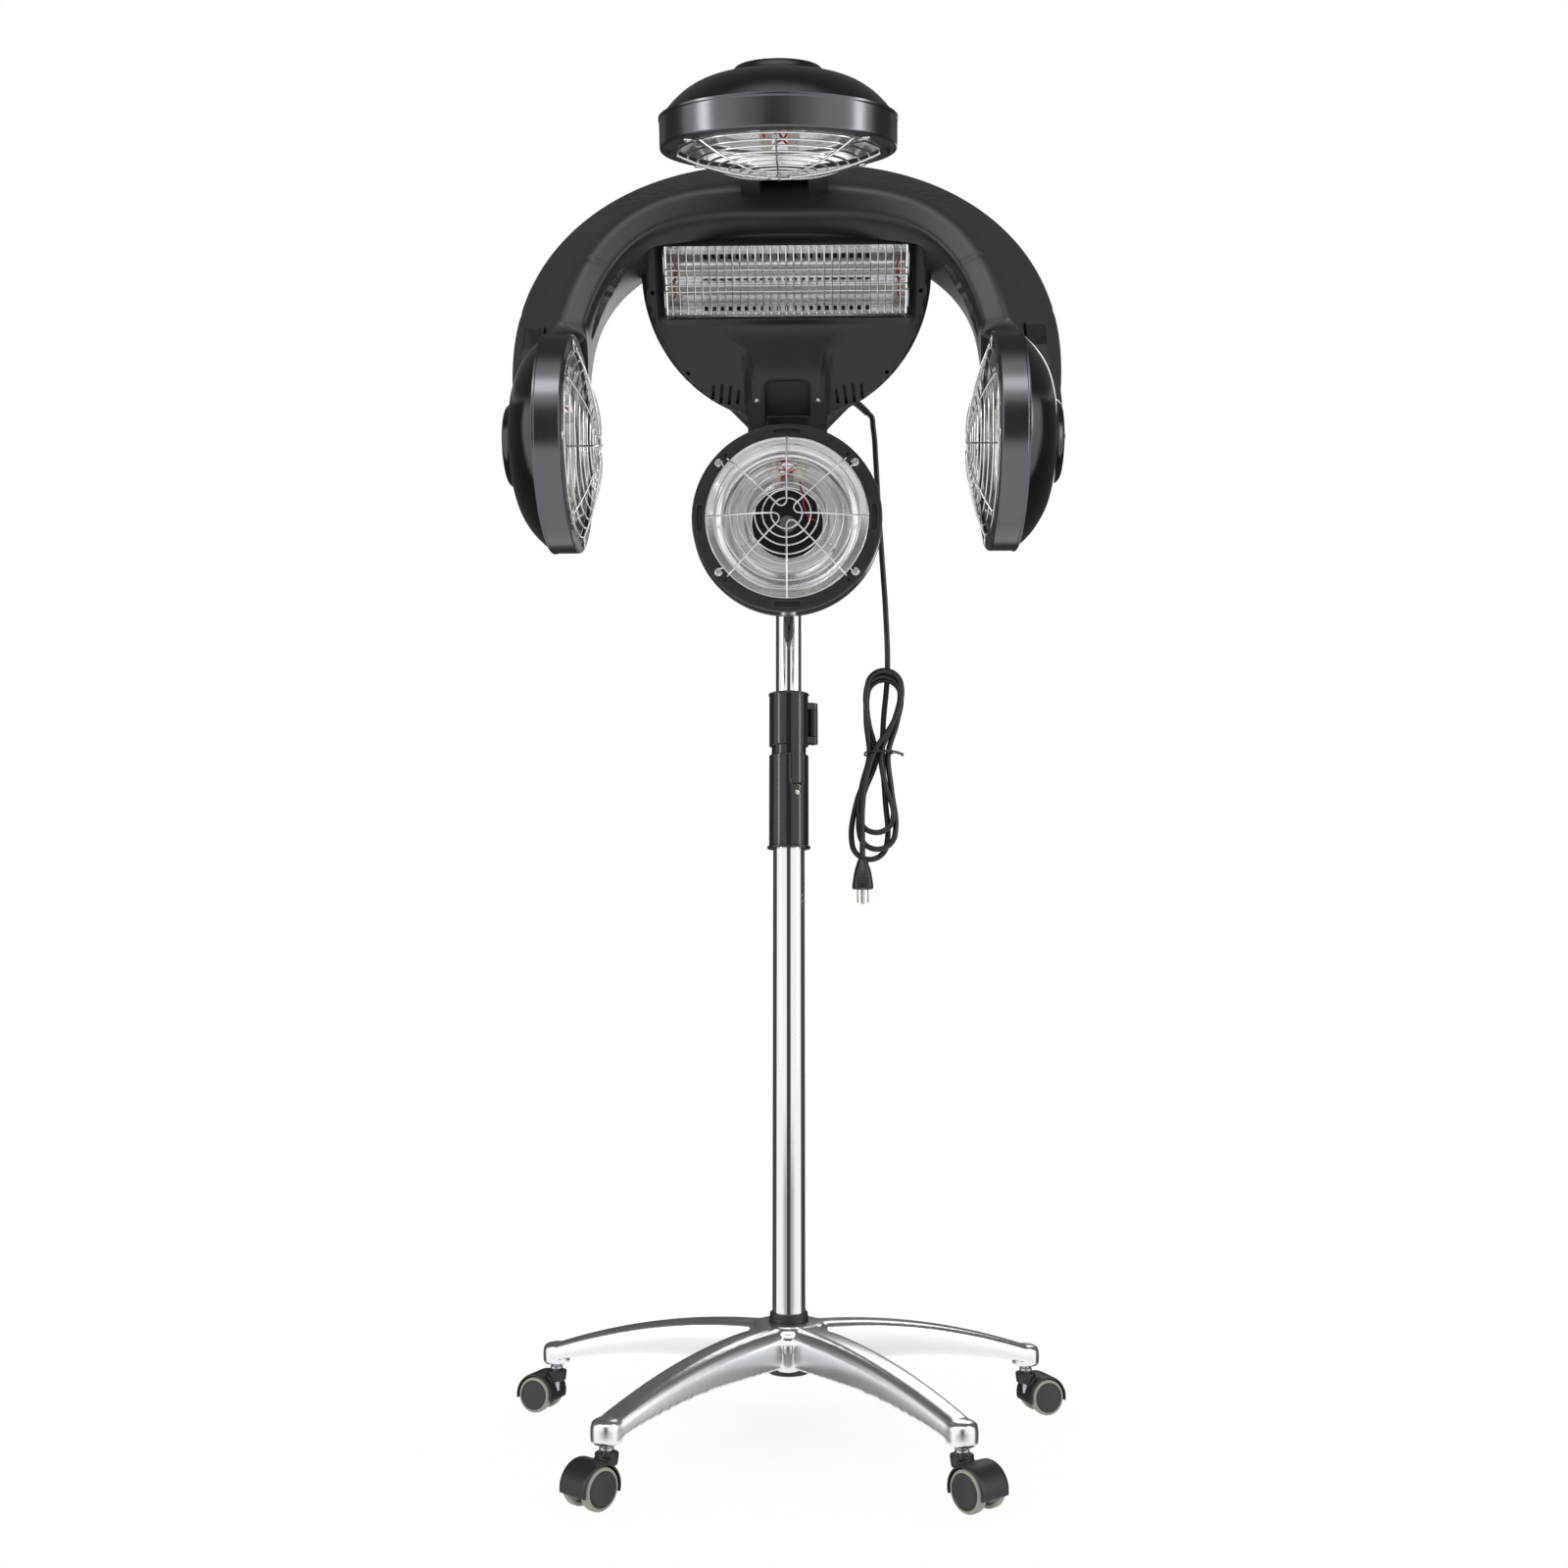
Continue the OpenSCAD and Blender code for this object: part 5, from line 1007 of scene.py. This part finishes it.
wires = []
loop_v = np.linspace(0, 2 * np.pi, 180, endpoint=False)
for r in rings_r:
    wires.append(tube(polar(r, loop_v, guard_z(r)), 1.05, 8, closed=True))
for first in np.radians([90, 180, 270, 0]):
    second, eye = first + np.radians(45), first + np.radians(22.5)
    bend = eye + np.radians([247.5, 225, 202.5, 180, 157.5, 135, 112.5])
    flat = [polar(r, first, 0) for r in (96, 80, 60, 40, 26, 19)]
    flat += [polar(15.6, eye, 0) + polar(6, b, 0) for b in bend]
    flat += [polar(r, second, 0) for r in (19, 26, 40, 60, 80, 96, 99)]
    line = curve_through(flat, 2.0)
    line[:, 2] = guard_z(np.minimum(np.hypot(line[:, 0], line[:, 1]), 97)) + 1.7
    wires.append(tube(line, 1.05, 8))
hook_v = np.radians(np.linspace(-150, 150, 20))
guard_feet = np.radians([39, 141, 219, 321])
for v in guard_feet:
    hook = np.concatenate([[[95, -0.2, 1.5]], [[98.4, -1.2, 1.2]], polar(4.0, hook_v, 1.1) + [103, 0, 0]])
    wires.append(moved(tube(hook, 0.95, 8), turn=v))
guard = joined(*wires)
guard_screws = joined(*[screw_head(polar(103, v, 0.9), [0, 0, 1], 3.6, 1.9) for v in guard_feet])

lug_line = np.concatenate([arc_about(100, -58, 10, np.radians(np.linspace(-75, 165, 30))), [[79, -48.5], [79, -60]]])
heads = {
    "top": (spin(("Z", 180), ("X", 158.3)), np.array([0, -489, 1289.0]), False, 26.7),
    "nape": (spin(("X", 95)), np.array([0, -116, 1058.0]), False, 26.7),
    "right": (side_spin, side_mid, False, 12.2),
    "left": (side_spin, side_mid, True, 12.2),
}
for name, (head_spin, head_mid, flip, lug_half) in heads.items():
    lug = slab(lug_line[::-1], -lug_half, lug_half, 0)
    parts = (("dome_shell", dome, gloss_black, "dome_black", ["dome"], 30, 0),
             ("lug", lug, black_nylon, "dome_black", [], 35, 1.0),
             ("band_ring", band, band_grey, "band_grey", ["bezel"], 30, 0),
             ("front_ring", face_ring, ring_black, "black_trim", [], 50, 0),
             ("bowl", bowl, mirror_sheet, "reflector_sheet", ["reflector"], 40, 0),
             # The back pan and its vents are near-black painted shade, for the shadow behind the reflector's middle.
             ("back_pan", joined(pan, vents), painted_shade_fill, "black_trim", [], 35, 0),
             ("centre_boss", boss, dull_steel, "bright_steel", [], 35, 0),
             ("ring_quartz", ring_lamp, quartz, "quartz_tube", ["lamp"], 60, 0),
             ("ring_filament", lamp_coil, filament_wire, "bright_steel", [], 60, 0),
             ("ring_lamp_ends", lamp_ends, ceramic, "quartz_tube", [], 40, 0),
             ("lamp_clips", clips, nickel, "bright_steel", [], 40, 0),
             ("lamp_leads", lamp_leads, red_silicone, "cord_black", [], 60, 0),
             ("wire_guard", guard, guard_chrome, "guard_wire", ["guard"], 60, 0),
             ("guard_screws", guard_screws, nickel, "bright_steel", [], 40, 0))
    for part, shape, material, slot, nodes, crisp, edge in parts:
        put = placed(shape, head_spin, head_mid)
        piece(f"{name}_{part}", mirrored(put) if flip else put, material, f"head_{name}",
              [f"{name}_{n}" for n in nodes], crisp, edge)


# ---- Controls ----
# A power rocker and a timer knob of black ABS on the flat of the rear shell, within reach of the operator.
copied("timer_dial_knob", "timer_knob", black_nylon, "timer_dial", 0.8)
copied("rocker_key", "power_rocker", black_nylon, "power_switch", 0.5)
tick = block([-0.5, 46.4, 20.5], [0.5, 47.5, 24.5])
ticks = [placed(tick, spin(("Y", v)), [0, 0, 1352]) for v in np.linspace(-150, 150, 11)]
dial_ink = finish_of("pad_printed_white_ink", "#d8d8d6", 0.6, grain=0.5, relief=0.01)
piece("dial_ticks", joined(*ticks), dial_ink, "hood")


# ---- Floor and light ----
# A plain white studio: a floor that only takes faint shadows, soft boxes on both sides, in front, overhead and
# behind, and in mirrors a dark flag behind the lens, a dark room behind and a dark ceiling, which show chrome's shape.
floor_mesh = bpy.data.meshes.new("studio_floor")
floor_mesh.from_pydata([(-6, -6, 0), (6, -6, 0), (6, 6, 0), (-6, 6, 0)], [], [(0, 1, 2, 3)])
linked("studio_floor", floor_mesh)
floor_paint, floor_tree, floor_place = blank_material("matt_white_floor_paint")
floor_reach = add_node(floor_tree, "VectorMath", {"operation": "LENGTH"}, {0: floor_place})
floor_fade = add_node(floor_tree, "MapRange", {"interpolation_type": "SMOOTHSTEP", "From Min": -1.2, "From Max": 0.5},
                      {"Value": floor_reach.outputs["Value"]})
floor_body = add_node(floor_tree, "BsdfPrincipled", {"Base Color": linear("#f2f2f2"), "Roughness": 0.7,
                                                     "Specular IOR Level": 0.2})
floor_clear = add_node(floor_tree, "BsdfTransparent")
floor_mix = add_node(floor_tree, "MixShader", {}, {0: floor_fade.outputs["Result"], 1: floor_body.outputs["BSDF"],
                                                   2: floor_clear.outputs["BSDF"]})
add_node(floor_tree, "OutputMaterial", {}, {"Surface": floor_mix.outputs["Shader"]})
floor_mesh.materials.append(floor_paint)

world = bpy.data.worlds.new("studio")
bpy.context.scene.world = world
world.use_nodes = True
sky = world.node_tree
sky.nodes.clear()
axes = add_node(sky, "SeparateXYZ", {}, {"Vector": add_node(sky, "TexCoord").outputs["Generated"]}).outputs


def calc(operation, a, b=0.0):
    """Output of a Math node, whose two inputs are outputs of other nodes or numbers."""
    numbers = {k: v for k, v in enumerate((a, b)) if isinstance(v, float)}
    links = {k: v for k, v in enumerate((a, b)) if k not in numbers}
    return add_node(sky, "Math", {"operation": operation, **numbers}, links).outputs["Value"]


def ramp(value, start, end, at_start=0.0, at_end=1.0, kind="LINEAR"):
    """Output that goes from at_start to at_end while the value goes from start to end, and is level beyond."""
    return add_node(sky, "MapRange", {"interpolation_type": kind, "From Min": start, "From Max": end, "To Min": at_start,
                                      "To Max": at_end}, {"Value": value}).outputs["Result"]


bearing = calc("ABSOLUTE", calc("ARCTAN2", axes["X"], calc("MULTIPLY", axes["Y"], -1.0)))   # 0 ahead of the hood
height = calc("ABSOLUTE", axes["Z"])
flags = []
for middle, half_width, reach in ((0.0, 0.3, 0.3), (2.5, 0.87, 0.42)):
    off = calc("ABSOLUTE", calc("SUBTRACT", bearing, middle))
    flags.append(calc("MULTIPLY", ramp(off, half_width - 0.1, half_width, 0.96, 0.0),
                      ramp(height, reach, reach + 0.1, 1.0, 0.0)))
ceiling = calc("MULTIPLY", ramp(axes["Z"], 0.3, 0.5, 0.0, 0.93, "SMOOTHSTEP"),
               ramp(axes["Y"], -0.5, -0.1, kind="SMOOTHSTEP"))
low_front = calc("MULTIPLY", ramp(axes["Z"], -0.06, -0.12), ramp(axes["Z"], -0.38, -0.3))
low_front = calc("MULTIPLY", low_front, ramp(bearing, 0.35, 0.95, 0.6, 0.0, "SMOOTHSTEP"))
darkness = calc("MAXIMUM", calc("MAXIMUM", calc("MAXIMUM", *flags), low_front), ceiling)
flagged = add_node(sky, "MixRGB", {"Color1": (1, 1, 1, 1), "Color2": (0.02, 0.02, 0.02, 1)}, {"Fac": darkness})
ray = add_node(sky, "LightPath")
seen = calc("MAXIMUM", ray.outputs["Is Camera Ray"], ray.outputs["Is Transmission Ray"])
fill = add_node(sky, "Background", {"Color": (1, 1, 1, 1), "Strength": 0.75})
mirror = add_node(sky, "Background", {"Strength": 1.12}, {"Color": flagged.outputs["Color"]})
backdrop = add_node(sky, "Background", {"Color": (1, 1, 1, 1), "Strength": 1.0})
glossy = add_node(sky, "MixShader", {}, {0: ray.outputs["Is Glossy Ray"], 1: fill.outputs["Background"],
                                         2: mirror.outputs["Background"]})
whole = add_node(sky, "MixShader", {}, {0: seen, 1: glossy.outputs["Shader"], 2: backdrop.outputs["Background"]})
add_node(sky, "OutputWorld", {}, {"Surface": whole.outputs["Shader"]})

for name, place, target, size, power in (("left_softbox", (-2.2, -1.3, 1.6), (0, -0.2, 1.1), (0.4, 2.6), 20),
                                         ("right_softbox", (2.2, -0.9, 1.6), (0, -0.2, 1.1), (0.4, 2.6), 18),
                                         ("front_softbox", (-0.3, -2.6, 3.0), (0, -0.2, 1.1), (1.8, 0.8), 17),
                                         ("top_softbox", (0, -1.3, 2.8), (0, -0.2, 1.3), (1.8, 0.8), 9),
                                         ("rear_softbox", (0.6, 2.2, 2.0), (0, 0, 0.9), (1.4, 1.4), 10)):
    lamp = bpy.data.lights.new(name, "AREA")
    lamp.shape, lamp.size, lamp.size_y, lamp.energy = "RECTANGLE", size[0], size[1], power
    stand = linked(name, lamp)
    stand.location = place
    stand.visible_glossy = name != "top_softbox"
    aim = unit(np.array(target) - place)
    side_way = unit(np.cross([0, 0, 1], -aim))
    stand.rotation_euler = Matrix(np.stack([side_way, np.cross(-aim, side_way), -aim], 1).tolist()).to_euler()

bpy.context.scene.view_settings.view_transform = "Standard"
